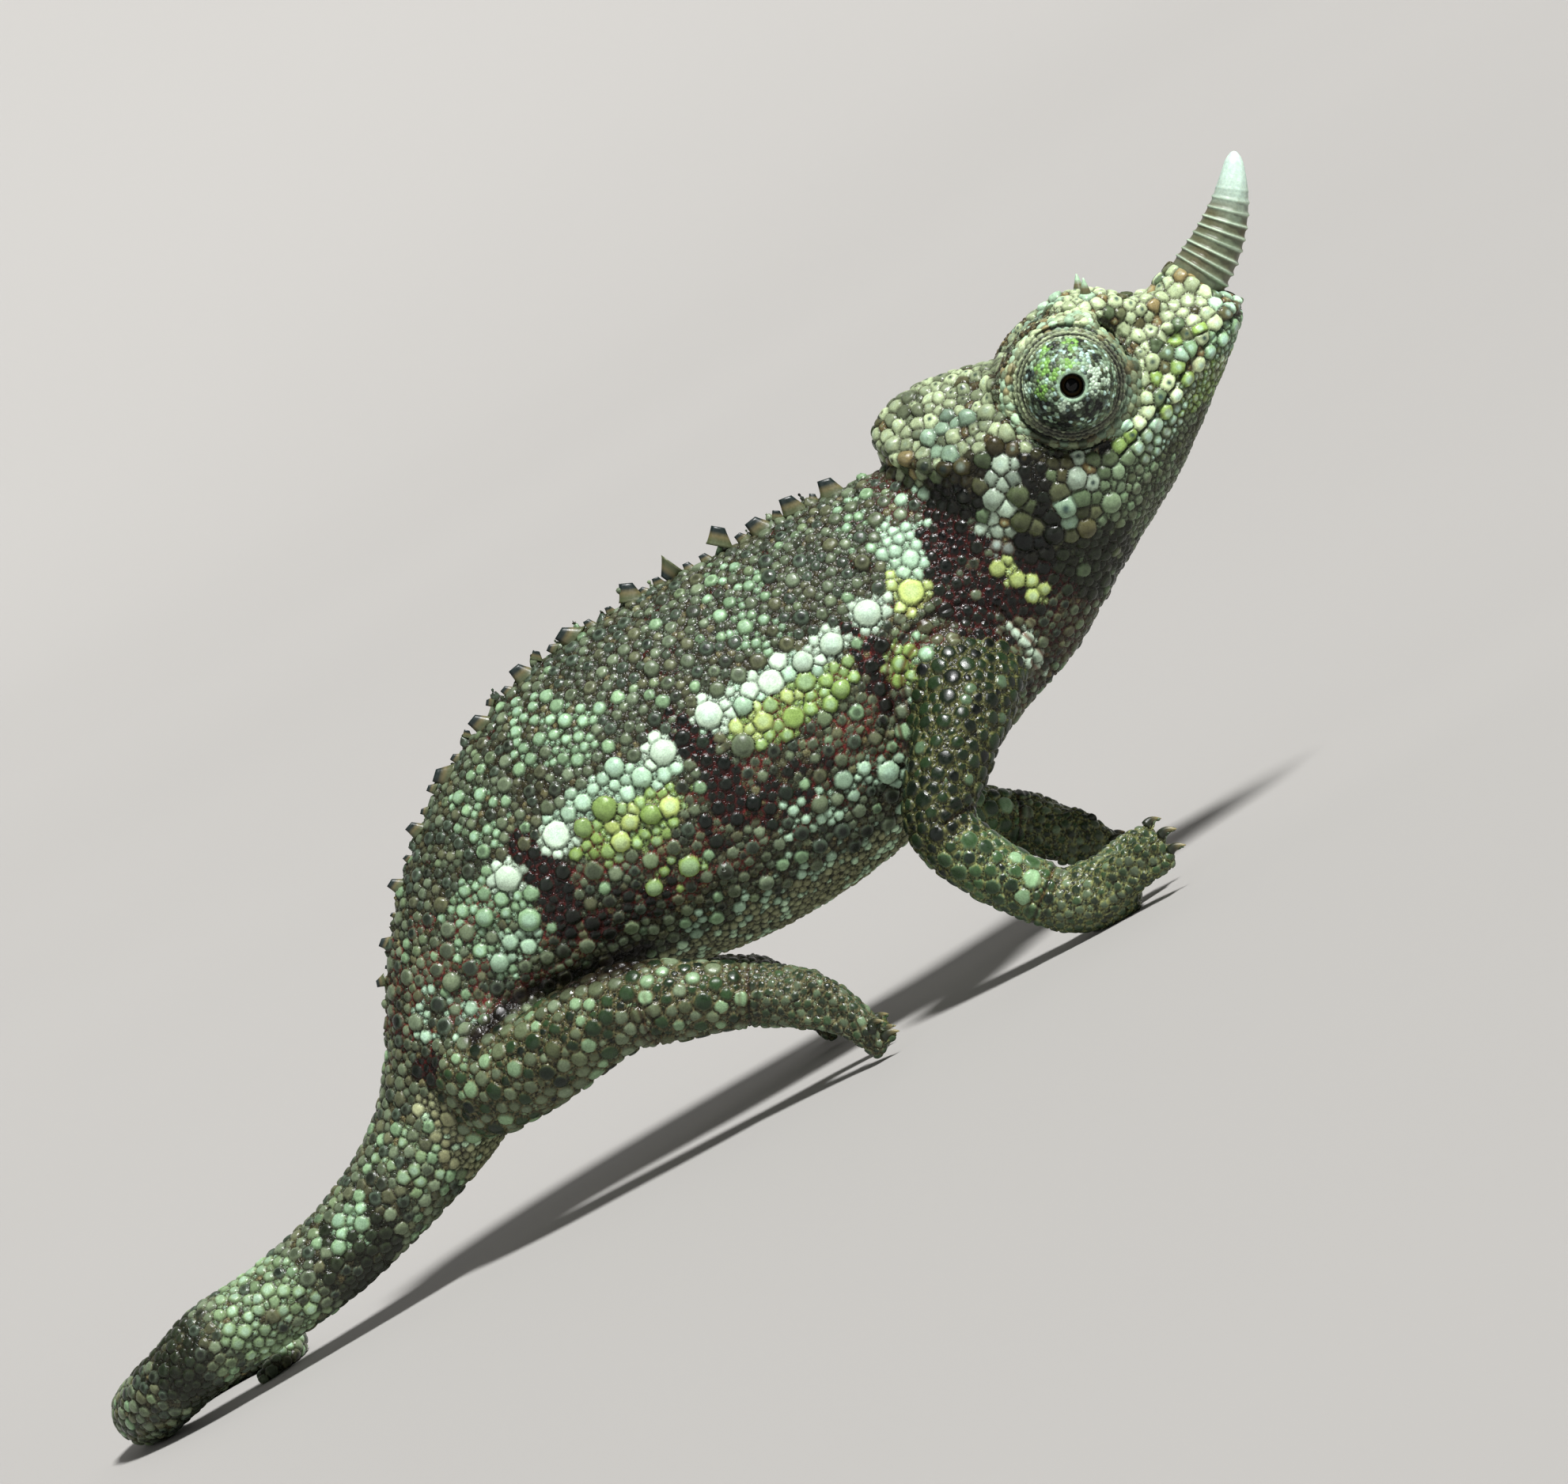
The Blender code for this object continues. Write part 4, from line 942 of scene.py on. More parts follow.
def object_of(name: str, mesh: Mesh, finish: Material) -> Object:
    """Links a finished mesh as a piece of the model that rides on its body.

    Args:
        name: Name of the piece.
        mesh: Its mesh, in metres at the origin.
        finish: Its material.

    Returns:
        The new object.
    """
    mesh.materials.clear()
    mesh.materials.append(finish)
    piece = linked(name, mesh)
    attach(piece, "root")
    return piece


def paint(mesh: Mesh, colours: Array) -> None:
    """Stores linear colours as the mesh's tint, one for each vertex."""
    layer = mesh.color_attributes.new("tint", "FLOAT_COLOR", "POINT")
    rows = np.ones((len(mesh.vertices), 4), np.float32)
    rows[:, :3] = colours
    layer.data.foreach_set("color", rows.ravel())


def weigh(mesh: Mesh, name: str, values: Array) -> None:
    """Stores one number for each vertex under a name."""
    layer = mesh.attributes.new(name, "FLOAT", "POINT")
    layer.data.foreach_set("value", np.asarray(values, np.float32))


@dataclass
class ScaleSizes:
    """Radii wanted for the large, middle and small scales at each vertex, each a little uneven.

    Args:
        count: Number of vertices.
        seed: Seed of the unevenness.
    """

    count: int
    seed: int

    def __post_init__(self) -> None:
        """Starts with no scales at all."""
        self.swing = 2 * default_rng(self.seed).random(self.count) - 1
        self.large, self.middle, self.small = np.zeros((3, self.count))

    def put(self, mask: Array, large: float, middle: float, small: float, vary: float = 0.2) -> None:
        """Sets the radii inside a mask.

        Args:
            mask: The vertices.
            large: Radius of the large scales, or 0 for none.
            middle: Radius of the middle ones.
            small: Radius of the small ones.
            vary: Share by which the large ones differ.
        """
        swing = self.swing[mask]
        self.large[mask] = large * (1 + vary * swing)
        self.middle[mask] = middle * (1 + 0.15 * swing)
        self.small[mask] = small * (1 + 0.12 * swing)


@dataclass
class Skin:
    """The one skin over all flesh nodes.

    Args:
        body: The body's measure.
        finish: The skin's material.
        voxel: Size of the remesh's cells before the last subdivision, in millimetres.
        overlap: How far nodes are swollen so that their gaps close, in millimetres.
        fillet: Rounds of smoothing where limbs join the trunk.
    """

    body: Body
    finish: Material
    voxel: float = 0.27
    overlap: float = 0.2
    fillet: int = 55
    # Set by build: points strewn over the nodes with each one's node, the base for lines that meet
    # it, and each vertex's kind of skin and piece.
    samples: tuple[KDTree, list[int]] = field(init=False)
    tree: BVHTree = field(init=False)
    zones: Array = field(init=False)
    groups: Array = field(init=False)

    # Shares of the smoothing rounds: one that shrinks, one that swells back, and the fillets'.
    RELAX = (0.52, -0.5)
    FILLET_SHARE = 0.5
    RELAX_ROUNDS = 14
    # Height of a scale in radii, its least and most, and how deep the grooves lie.
    SCALE_RISE, SCALE_LOW, SCALE_HIGH = 0.5, 0.07, 0.32
    GROOVE_DEPTH = 0.1
    # How deep the creases lie, and the factor that darkens them towards red-brown: partly their own red-brown
    # lines, partly painted shade in the folds.
    CREASE_DEPTH = 0.14
    CREASE_SHADE_AND_TINT = (0.4, 0.2, 0.18)
    # Radii round the eye's axis: the hidden skin, the socket's rings and the granules' end.
    HIDDEN_RADIUS, SOCKET_RADIUS, GRANULE_RADIUS = 4.3, 4.9, 5.2
    NOSTRIL_RADII = (0.62, 0.3)
    TEMPLE = (29.4, 34.6)
    FAR = 99.0
    SAMPLES_PER_MM2 = 2.5
    FEWEST_SAMPLES = 20
    MOST_CENTRES = 220000
    HORN_RING_RADIUS = 0.5

    def build(self) -> list[Object]:
        """Makes the whole skin.

        Returns:
            Its pieces.
        """
        self.samples = self._node_samples()
        coarse = self._closed()
        self._relax(coarse)
        dense = self._dense(coarse)
        base = Surface.of(dense)
        self.tree = BVHTree.FromPolygons(*self._polygons(coarse))
        self.zones, self.groups = self._regions(base.points)
        LOG.info("skin has %d vertices", len(base.points))
        mosaic = self._mosaic(base)
        LOG.info("skin has %d scales", len(mosaic.centres))
        heights, colours = self._dress(base, mosaic)
        moved = base.points + base.normals * heights[:, None]
        moved[:, 2] = np.maximum(moved[:, 2], 0.0)
        move(dense, self.body.to_frame(moved))
        paint(dense, colours)
        tiny = 1 - smoothstep(0.22, 0.34, mosaic.radii[mosaic.owner])
        weigh(dense, "small", np.maximum(tiny, 1 - smoothstep(0.01, 0.06, mosaic.margin)))
        return self._parted(dense)

    def _closed(self) -> Mesh:
        """Joins the flesh nodes, slightly swollen, into one closed surface of even quads."""
        whole = bmesh.new()
        for name in ZONE_OF_NODE:
            part = bmesh.new()
            part.from_mesh(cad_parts[name].data)
            bmesh.ops.remove_doubles(part, verts=part.verts[:], dist=1e-6)
            bmesh.ops.recalc_face_normals(part, faces=part.faces[:])
            part.normal_update()
            for vert in part.verts:
                vert.co = Vector(self.body.to_body(np.array(vert.co))) + vert.normal * self.overlap
            held = mesh_of(part, "part", smooth=False)
            whole.from_mesh(held)
            bpy.data.meshes.remove(held)
        for muscle in MUSCLES:
            for side in (RIGHT, LEFT):
                x, out, z = muscle.place
                place = Matrix.Translation((x, side * out, z)) @ Matrix.Diagonal((*muscle.radii, 1))
                bmesh.ops.create_icosphere(whole, subdivisions=3, radius=1.0, matrix=place)
        base = mesh_of(whole, "skin_base", smooth=False)
        return modified(base, "REMESH", mode="VOXEL", voxel_size=self.voxel)

    def _relax(self, mesh: Mesh) -> None:
        """Smooths a mesh without shrinking it, fills the creases at the limbs and undoes the swelling."""
        shares = self.RELAX * self.RELAX_ROUNDS
        points = self._smoothed(mesh, Surface.of(mesh).points, shares, np.ones(1))
        zones, _ = self._regions(points)
        near = self._near_joins(mesh, points, zones)
        points = self._smoothed(mesh, points, (self.FILLET_SHARE,) * self.fillet, near)
        move(mesh, points)
        surface = Surface.of(mesh)
        move(mesh, surface.points - surface.normals * self.overlap)

    @staticmethod
    def _edges(mesh: Mesh) -> Arrays:
        """The two ends of each edge."""
        return read(mesh.edges, "vertices", 2, np.int32).T

    def _smoothed(self, mesh: Mesh, points: Array, shares: Sequence[float], weight: Array) -> Array:
        """Moves points towards the mean of their neighbours, by each share in turn."""
        one, two = self._edges(mesh)
        count = len(points)
        degree = np.bincount(one, minlength=count) + np.bincount(two, minlength=count)
        for share in shares:
            mean = np.empty_like(points)
            for axis in range(3):
                total = np.bincount(one, points[two, axis], minlength=count)
                total += np.bincount(two, points[one, axis], minlength=count)
                mean[:, axis] = total / degree
            points = points + (mean - points) * share * weight[:, None]
        return points

    def _near_joins(self, mesh: Mesh, points: Array, zones: Array) -> Array:
        """How near each point is to where a limb leaves the trunk, from 0 to 1."""
        one, two = self._edges(mesh)
        limb, trunk = within(zones, Zone.LIMB), within(zones, Zone.TRUNK)
        meets = (limb[one] & trunk[two]) | (limb[two] & trunk[one])
        tree = tree_of(points[one[meets]][::3])
        far = np.array([tree.find(place)[2] for place in points])
        return 1 - smoothstep(0.8, 2.6, far)

    def _dense(self, coarse: Mesh) -> Mesh:
        """Subdivides the base once."""
        return modified(coarse, "SUBSURF", levels=1, render_levels=1)

    @staticmethod
    def _polygons(mesh: Mesh) -> tuple[list, list]:
        """Vertices and polygons as lists, for a ray-casting tree."""
        return [v.co.copy() for v in mesh.vertices], [tuple(p.vertices) for p in mesh.polygons]

    def _node_samples(self) -> tuple[KDTree, list[int]]:
        """Points strewn over the flesh nodes, in a tree, and the number of each point's node."""
        draw = default_rng(5)
        places, owners = [], []
        for number, name in enumerate(ZONE_OF_NODE):
            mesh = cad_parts[name].data
            mesh.calc_loop_triangles()
            verts = self.body.to_body(np.array([v.co for v in mesh.vertices]))
            corners = verts[np.array([t.vertices for t in mesh.loop_triangles])]
            ab, ac = corners[:, 1] - corners[:, 0], corners[:, 2] - corners[:, 0]
            area = np.linalg.norm(np.cross(ab, ac), axis=1)
            count = int(area.sum() / 2 * self.SAMPLES_PER_MM2) + self.FEWEST_SAMPLES
            pick = draw.choice(len(corners), count, p=area / area.sum())
            a, b = draw.random(count), draw.random(count)
            over = a + b > 1
            a[over], b[over] = 1 - a[over], 1 - b[over]
            places.append(corners[pick, 0] + ab[pick] * a[:, None] + ac[pick] * b[:, None])
            owners += [number] * count
        return tree_of(np.concatenate(places)), owners

    def _regions(self, points: Array) -> Arrays:
        """For each vertex the zone and the piece of the node that lies nearest."""
        tree, owners = self.samples
        names = list(ZONE_OF_NODE)
        nearest = np.array([owners[tree.find(place)[1]] for place in points])
        zone_of = np.array([ZONE_OF_NODE[name].value for name in names])
        piece_of = np.array([next(k for k, p in enumerate(PIECES.values()) if name in p) for name in names])
        return zone_of[nearest], piece_of[nearest]

    def seen_from_side(self, x: float, z: float, side: int) -> Optional[Vector]:
        """Where a level line from one side meets the skin."""
        place, _, _, _ = self.tree.ray_cast(Vector((x, side * 40.0, z)), Vector((0, -side, 0)))
        return place

    def _fixed(self) -> list[tuple]:
        """Places and radii of the large plates, and of the plates along the lips and the horn."""
        found = []
        for plate in PLATES + HEAD_PLATES + self._lips():
            for side in (RIGHT, LEFT):
                place = self.seen_from_side(plate.x, plate.z, side)
                if place is not None:
                    found.append((place, plate.radius))
        found += self._horn_ring()
        return found

    @staticmethod
    def _lips() -> tuple[Plate, ...]:
        """A row of plates above and below the mouth's line."""
        rows = []
        for (ax, az), (bx, bz) in zip(MOUTH[1:], MOUTH[2:]):
            length = hypot(bx - ax, bz - az)
            for k in range(round(length / LIP_PITCH)):
                t = (k + 0.5) / round(length / LIP_PITCH)
                for rise in (LIP_RISE, -LIP_RISE):
                    rows.append(Plate(ax + t * (bx - ax), az + t * (bz - az) + rise, LIP_RADIUS))
        return tuple(rows)

    def _horn_ring(self) -> list[tuple]:
        """Two rings of plates round the horn's root."""
        found = []
        way = Vector((cos(Horn.lean), 0, sin(Horn.lean)))
        rise = Vector((-way.z, 0, way.x))
        for back, count, turn in ((0.75, 13, 0.0), (1.9, 14, 0.5)):
            centre = Vector((Horn.x, 0, Horn.z)) - way * back
            for k in range(count):
                angle = tau * (k + turn) / count
                out = rise * cos(angle) + Vector((0, sin(angle), 0))
                place, _, _, _ = self.tree.ray_cast(centre + out * 4.0, -out)
                if place is not None:
                    found.append((place, self.HORN_RING_RADIUS))
        return found

    def _sizes(self, points: Array) -> tuple[ScaleSizes, Array]:
        """The size of the scales wanted at each vertex, and how far scales may open their borders."""
        x, y, z = points.T
        trunk, head, jaw, tail, limb, foot = (within(self.zones, kind) for kind in Zone)
        round_eye = np.hypot(x - EYE_X, z - EYE_Z) < self.GRANULE_RADIUS
        socket = head & round_eye & (np.abs(y) > 2.8)
        cheek = (line_distance(x, z, CHEEK) < 1.5) & (x > 26) & ~trunk
        bar = trunk & (self._paleness(x, z) > BAR_LEVEL)
        sizes = ScaleSizes(len(points), seed=9)
        for mask, *radii in (
            (trunk, 0.5, 0.32, 0.2, 0.25),
            (trunk & (z > 27.5 + 0.15 * x), 0.46, 0.33, 0.21, 0.2),
            (trunk & (z < BELLY_TOP), 0.0, 0.3, 0.2),
            (trunk & (x > 24.0), 0.42, 0.3, 0.2, 0.25),
            (head, 0.45, 0.31, 0.0, 0.2),
            (head & (x < 34) & (z < 31.4), 0.48, 0.32, 0.2, 0.25),
            (cheek, 0.56, 0.36, 0.0, 0.25),
            (socket, 0.0, 0.0, 0.2),
            (jaw, 0.42, 0.32, 0.21, 0.15),
            (jaw & (z < chin_line(x, 22.5)), 0.0, 0.28, 0.2),
            (tail, 0.46, 0.34, 0.21, 0.16),
            (limb, 0.58, 0.36, 0.2, 0.24),
            (foot, 0.36, 0.27, 0.19, 0.12),
            (bar, 0.56, 0.38, 0.24, 0.34),
        ):
            sizes.put(mask, *radii)
        opening = np.where(trunk & ~bar, 0.045, 0.14)
        for mask, reach in ((limb | foot | jaw, 0.2), (tail, 0.24), (head | cheek, 0.34)):
            opening[mask] = reach
        return sizes, opening

    def _mosaic(self, base: Surface) -> Mosaic:
        """Scatters the scales over the skin and gives each vertex its scale."""
        points = base.points
        sizes, opening = self._sizes(points)
        trunk = within(self.zones, Zone.TRUNK)
        loose = trunk & (sizes.large > 0) & (self._paleness(points[:, 0], points[:, 2]) <= BAR_LEVEL)
        order = default_rng(3).permutation(len(points))[: self.MOST_CENTRES]
        classes = (
            (np.where(loose, sizes.large, 0.0)[order], 1.3),
            (np.where(loose, 0.0, sizes.large)[order], 0.98),
            (sizes.middle[order], 1.0),
            (sizes.small[order], 0.92),
        )
        mosaic = Mosaic.scattered(points[order], self._fixed(), classes, seed=21)
        mosaic.lay(points, opening)
        return mosaic

    @staticmethod
    def _paleness(x: Array, z: Array) -> Array:
        """How far points lie in the pale bars, from 0 to 1."""
        bars = [blot for blot in BLOTS if blot.tone in BAR_TONES and blot.share > FULL_SHARE]
        return np.max([blot.weight(x, z) for blot in bars], axis=0)

    def _dress(self, base: Surface, mosaic: Mosaic) -> Arrays:
        """Height over the base and colour of each vertex."""
        lift = np.clip(self.SCALE_RISE * mosaic.radii, self.SCALE_LOW, self.SCALE_HIGH)
        heights = mosaic.relief(lift) - self.GROOVE_DEPTH
        colours = Markings(self, mosaic).colours(base.points)
        for rise, light in self._details(base.points):
            heights += rise
            colours *= light[:, None]
        # The creases sink and darken towards red-brown: partly their own red-brown lines, partly painted shade.
        creases = self._creases(base.points)
        heights -= self.CREASE_DEPTH * creases
        return heights, blend(colours, colours * np.array(self.CREASE_SHADE_AND_TINT), creases)

    def _details(self, points: Array) -> Iterator[Arrays]:
        """The mouth's line, nostrils, casque's rim, eye's socket and groin, with painted shade.

        Args:
            points: Places of the vertices.

        Yields:
            How much each raises the skin, and the factor of its painted shade on the colour.
        """
        x, y, z = points.T
        head = within(self.zones, Zone.HEAD, Zone.JAW)
        mouth = np.where(head & (x > 38.6), line_distance(x, z, MOUTH), self.FAR)
        yield -0.2 * bell(mouth, 0.15), 1 - 0.6 * bell(mouth, 0.11)

        ahead, above = x - NOSTRIL[0], z - NOSTRIL[1]
        long, high = self.NOSTRIL_RADII
        nose = np.hypot((ahead * 0.87 - above * 0.5) / long, (ahead * 0.5 + above * 0.87) / high)
        nose = np.where(head, nose, self.FAR)
        yield 0.14 * bell(nose - 2.0, 0.7) - 0.42 * bell(nose, 1.0), 1 - 0.95 * bell(nose, 0.85)

        rim = np.where(head, line_distance(x, z, CASQUE_RIM + CASQUE_EDGE[::-1]), self.FAR)
        ahead, above = x - self.TEMPLE[0], z - self.TEMPLE[1]
        temple = head * np.exp(-((ahead / 2.6) ** 2 + (above / 1.5) ** 2))
        yield 0.3 * bell(rim, 0.55) - 0.36 * temple, 1 - 0.25 * temple

        eye = np.where(head, np.hypot(x - EYE_X, z - EYE_Z), self.FAR)
        wave = 0.5 + 0.5 * np.cos((eye - 4.5) * tau / 0.48)
        ring = (1 - smoothstep(self.SOCKET_RADIUS, 5.6, eye)) * (eye > 4.0) * wave
        yield -0.12 * ring, 1 - 0.55 * ring
        # Painted shade on the head's skin hidden under the turret.
        inside = head & (eye < self.HIDDEN_RADIUS) & (np.abs(y) < 6.6)
        yield np.zeros(len(x)), np.where(inside, 0.4, 1.0)
        yield np.zeros(len(x)), 1 - 0.8 * bell(line_distance(x, z, GROIN), 0.6) * (np.abs(y) > 3.0)

    def _creases(self, points: Array) -> Array:
        """How deep each vertex lies in a fold of the limbs, shoulder or throat, from 0 to 1."""
        x, _, z = points.T
        limb, trunk = within(self.zones, Zone.LIMB, Zone.FOOT), within(self.zones, Zone.TRUNK)
        depth = np.zeros(len(points))
        for fold in FOLDS:
            depth = np.maximum(depth, fold.depth(points) * limb)
        ahead, above = x - SHOULDER[0], z - SHOULDER[1]
        reach = np.hypot(ahead, above * 0.85)
        band = smoothstep(3.4, 4.0, reach) * (1 - smoothstep(6.0, 7.2, reach)) * (z > 15.5) * trunk
        sway = 1.2 * np.sin(np.arctan2(above, ahead) * 5)
        wave = 0.5 + 0.5 * np.cos(reach * tau / 0.95 + sway)
        depth = np.maximum(depth, band * wave**3)
        depth = np.maximum(depth, bell(line_distance(x, z, GROIN), 0.5) * (trunk | limb))
        throat = (within(self.zones, Zone.JAW) | trunk) & (x > 26.5) & (z < chin_line(x, 24.5))
        across = (z - 0.55 * x) * 0.876 + 0.35 * np.sin(x * 1.3)
        furrow = 0.5 + 0.5 * np.cos(across * tau / 0.92)
        return np.maximum(depth, 0.45 * throat * furrow**3)

    def _parted(self, mesh: Mesh) -> list[Object]:
        """Parts the skin into pieces and keeps its shading whole across them."""
        layer = mesh.attributes.new("whole_normal", "FLOAT_VECTOR", "POINT")
        layer.data.foreach_set("vector", read(mesh.vertices, "normal", 3).ravel())
        count = len(mesh.polygons)
        corners = read(mesh.loops, "vertex_index", kind=np.int32)
        starts = read(mesh.polygons, "loop_start", kind=np.int32)
        mesh.materials.clear()
        for name in PIECES:
            mesh.materials.append(bpy.data.materials.new(name))
        mesh.polygons.foreach_set("material_index", self.groups[corners[starts]].astype(np.int32))
        mesh.polygons.foreach_set("use_smooth", np.ones(count, bool))
        whole = linked("skin_whole", mesh)
        bpy.context.view_layer.objects.active = whole
        for other in bpy.context.selected_objects:
            other.select_set(False)
        whole.select_set(True)
        bpy.ops.object.mode_set(mode="EDIT")
        bpy.ops.mesh.select_all(action="SELECT")
        bpy.ops.mesh.separate(type="MATERIAL")
        bpy.ops.object.mode_set(mode="OBJECT")
        pieces = []
        for piece in [o for o in bpy.context.selected_objects if o.name.startswith("skin_whole")]:
            name = piece.data.materials[0].name
            piece.name = name
            piece.data.name = name
            self._finish_piece(piece, name)
            pieces.append(piece)
        return pieces

    def _finish_piece(self, piece: Object, name: str) -> None:
        """Shades and unwraps one piece of the skin, attaches it and hides the nodes that it replaces."""
        mesh = piece.data
        spare = mesh.materials[0]
        mesh.materials.clear()
        mesh.materials.append(self.finish)
        bpy.data.materials.remove(spare)
        layer = mesh.attributes["whole_normal"]
        normals = read(layer.data, "vector", 3)
        mesh.attributes.remove(layer)
        mesh.normals_split_custom_set_from_vertices(normals.tolist())
        Unwrap(self.body).apply(mesh, curled=name == "skin_tail")
        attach(piece, "root")
        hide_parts(*PIECES[name])


@dataclass
class Unwrap:
    """A bake map that unrolls a long piece round its own axis.

    Args:
        body: The body's measure.
        slices: Number of slices whose middles make the axis.
    """

    body: Body
    slices: int = 48

    def apply(self, mesh: Mesh, curled: bool = False) -> None:
        """Adds the map.

        Args:
            mesh: A mesh in frame metres.
            curled: Whether the piece follows the tail's curl.
        """
        points = self.body.to_body(read(mesh.vertices, "co", 3))
        along, across, up = self._curl(points) if curled else self._straight(points)
        share = (along - along.min()) / np.ptp(along)
        cell = np.minimum((share * self.slices).astype(int), self.slices - 1)
        held = np.bincount(cell, minlength=self.slices).clip(1)
        mid_a = (np.bincount(cell, across, minlength=self.slices) / held)[cell]
        mid_u = (np.bincount(cell, up, minlength=self.slices) / held)[cell]
        turn = np.arctan2(across - mid_a, up - mid_u) / tau + 0.5
        corners = read(mesh.loops, "vertex_index", kind=np.int32)
        u, v = turn[corners], share[corners]
        totals = read(mesh.polygons, "loop_total", kind=np.int32)
        owner = np.repeat(np.arange(len(totals)), totals)
        high = np.zeros(len(totals))
        np.maximum.at(high, owner, u)
        u = np.where((high[owner] - u) > 0.5, u + 1.0, u)
        layer = mesh.uv_layers.new(name="OFBake")
        flat = np.stack([0.01 + 0.98 * u / 1.06, 0.01 + 0.98 * v], axis=1).astype(np.float32)
        layer.data.foreach_set("uv", flat.ravel())

    @staticmethod
    def _straight(points: Array) -> Arrays:
        """Coordinates along and across the longest direction of the points."""
        centred = points - points.mean(axis=0)
        _, vectors = np.linalg.eigh(centred.T @ centred)
        return centred @ vectors[:, 2], centred @ vectors[:, 0], centred @ vectors[:, 1]

    @staticmethod
    def _curl(points: Array) -> Arrays:
        """Coordinates along and across the tail, straight at first and then round the curl."""
        x, y, z = points.T
        radius = np.hypot(x - CURL_X, y - CURL_Y)
        turn = np.mod(-np.arctan2(y - CURL_Y, x - CURL_X) - pi / 2, tau)
        straight = (x > CURL_X) & (y < 3.6)
        along = np.where(straight, -x, -CURL_X + turn * 6.0)
        return along, np.where(straight, -y, radius - 7.9), z


@dataclass
class Scales:
    """What is known of each scale, and the two colours that it gets.

    Args:
        places: Their middles.
        radii: Their radii.
        zone: Their kinds of skin.
        draw: The source of chance.
    """

    places: Array
    radii: Array
    zone: Array
    draw: np.random.Generator

    def __post_init__(self) -> None:
        """Draws each scale's luck and lets the pattern stray a little on the far side."""
        self.count = len(self.places)
        self.chance, self.tone, self.hue = (self.draw.random(self.count) for _ in range(3))
        drift = (waves(self.places, 16.0, 31) - 0.5) * 5.0 * (self.places[:, 1] > 0)
        self.x, self.z = self.places[:, 0] + drift, self.places[:, 2] + drift * 0.4
        self.large = smoothstep(0.24, 0.36, self.radii)
        self.patch = waves(self.places, 9.0, 32)
        self.core, self.ring = np.zeros((2, self.count, 3))

    @property
    def light(self) -> Array:
        """How light each scale's ring is."""
        return self.ring.mean(axis=1)

    def put(self, mask: Array, ring: Array, core: Array) -> None:
        """Gives the scales inside a mask their colours from rows for all scales."""
        self.ring[mask], self.core[mask] = ring[mask], core[mask]

    def on(self, *kinds: Zone) -> Array:
        """Which scales lie on some kinds of skin."""
        return within(self.zone, *kinds)


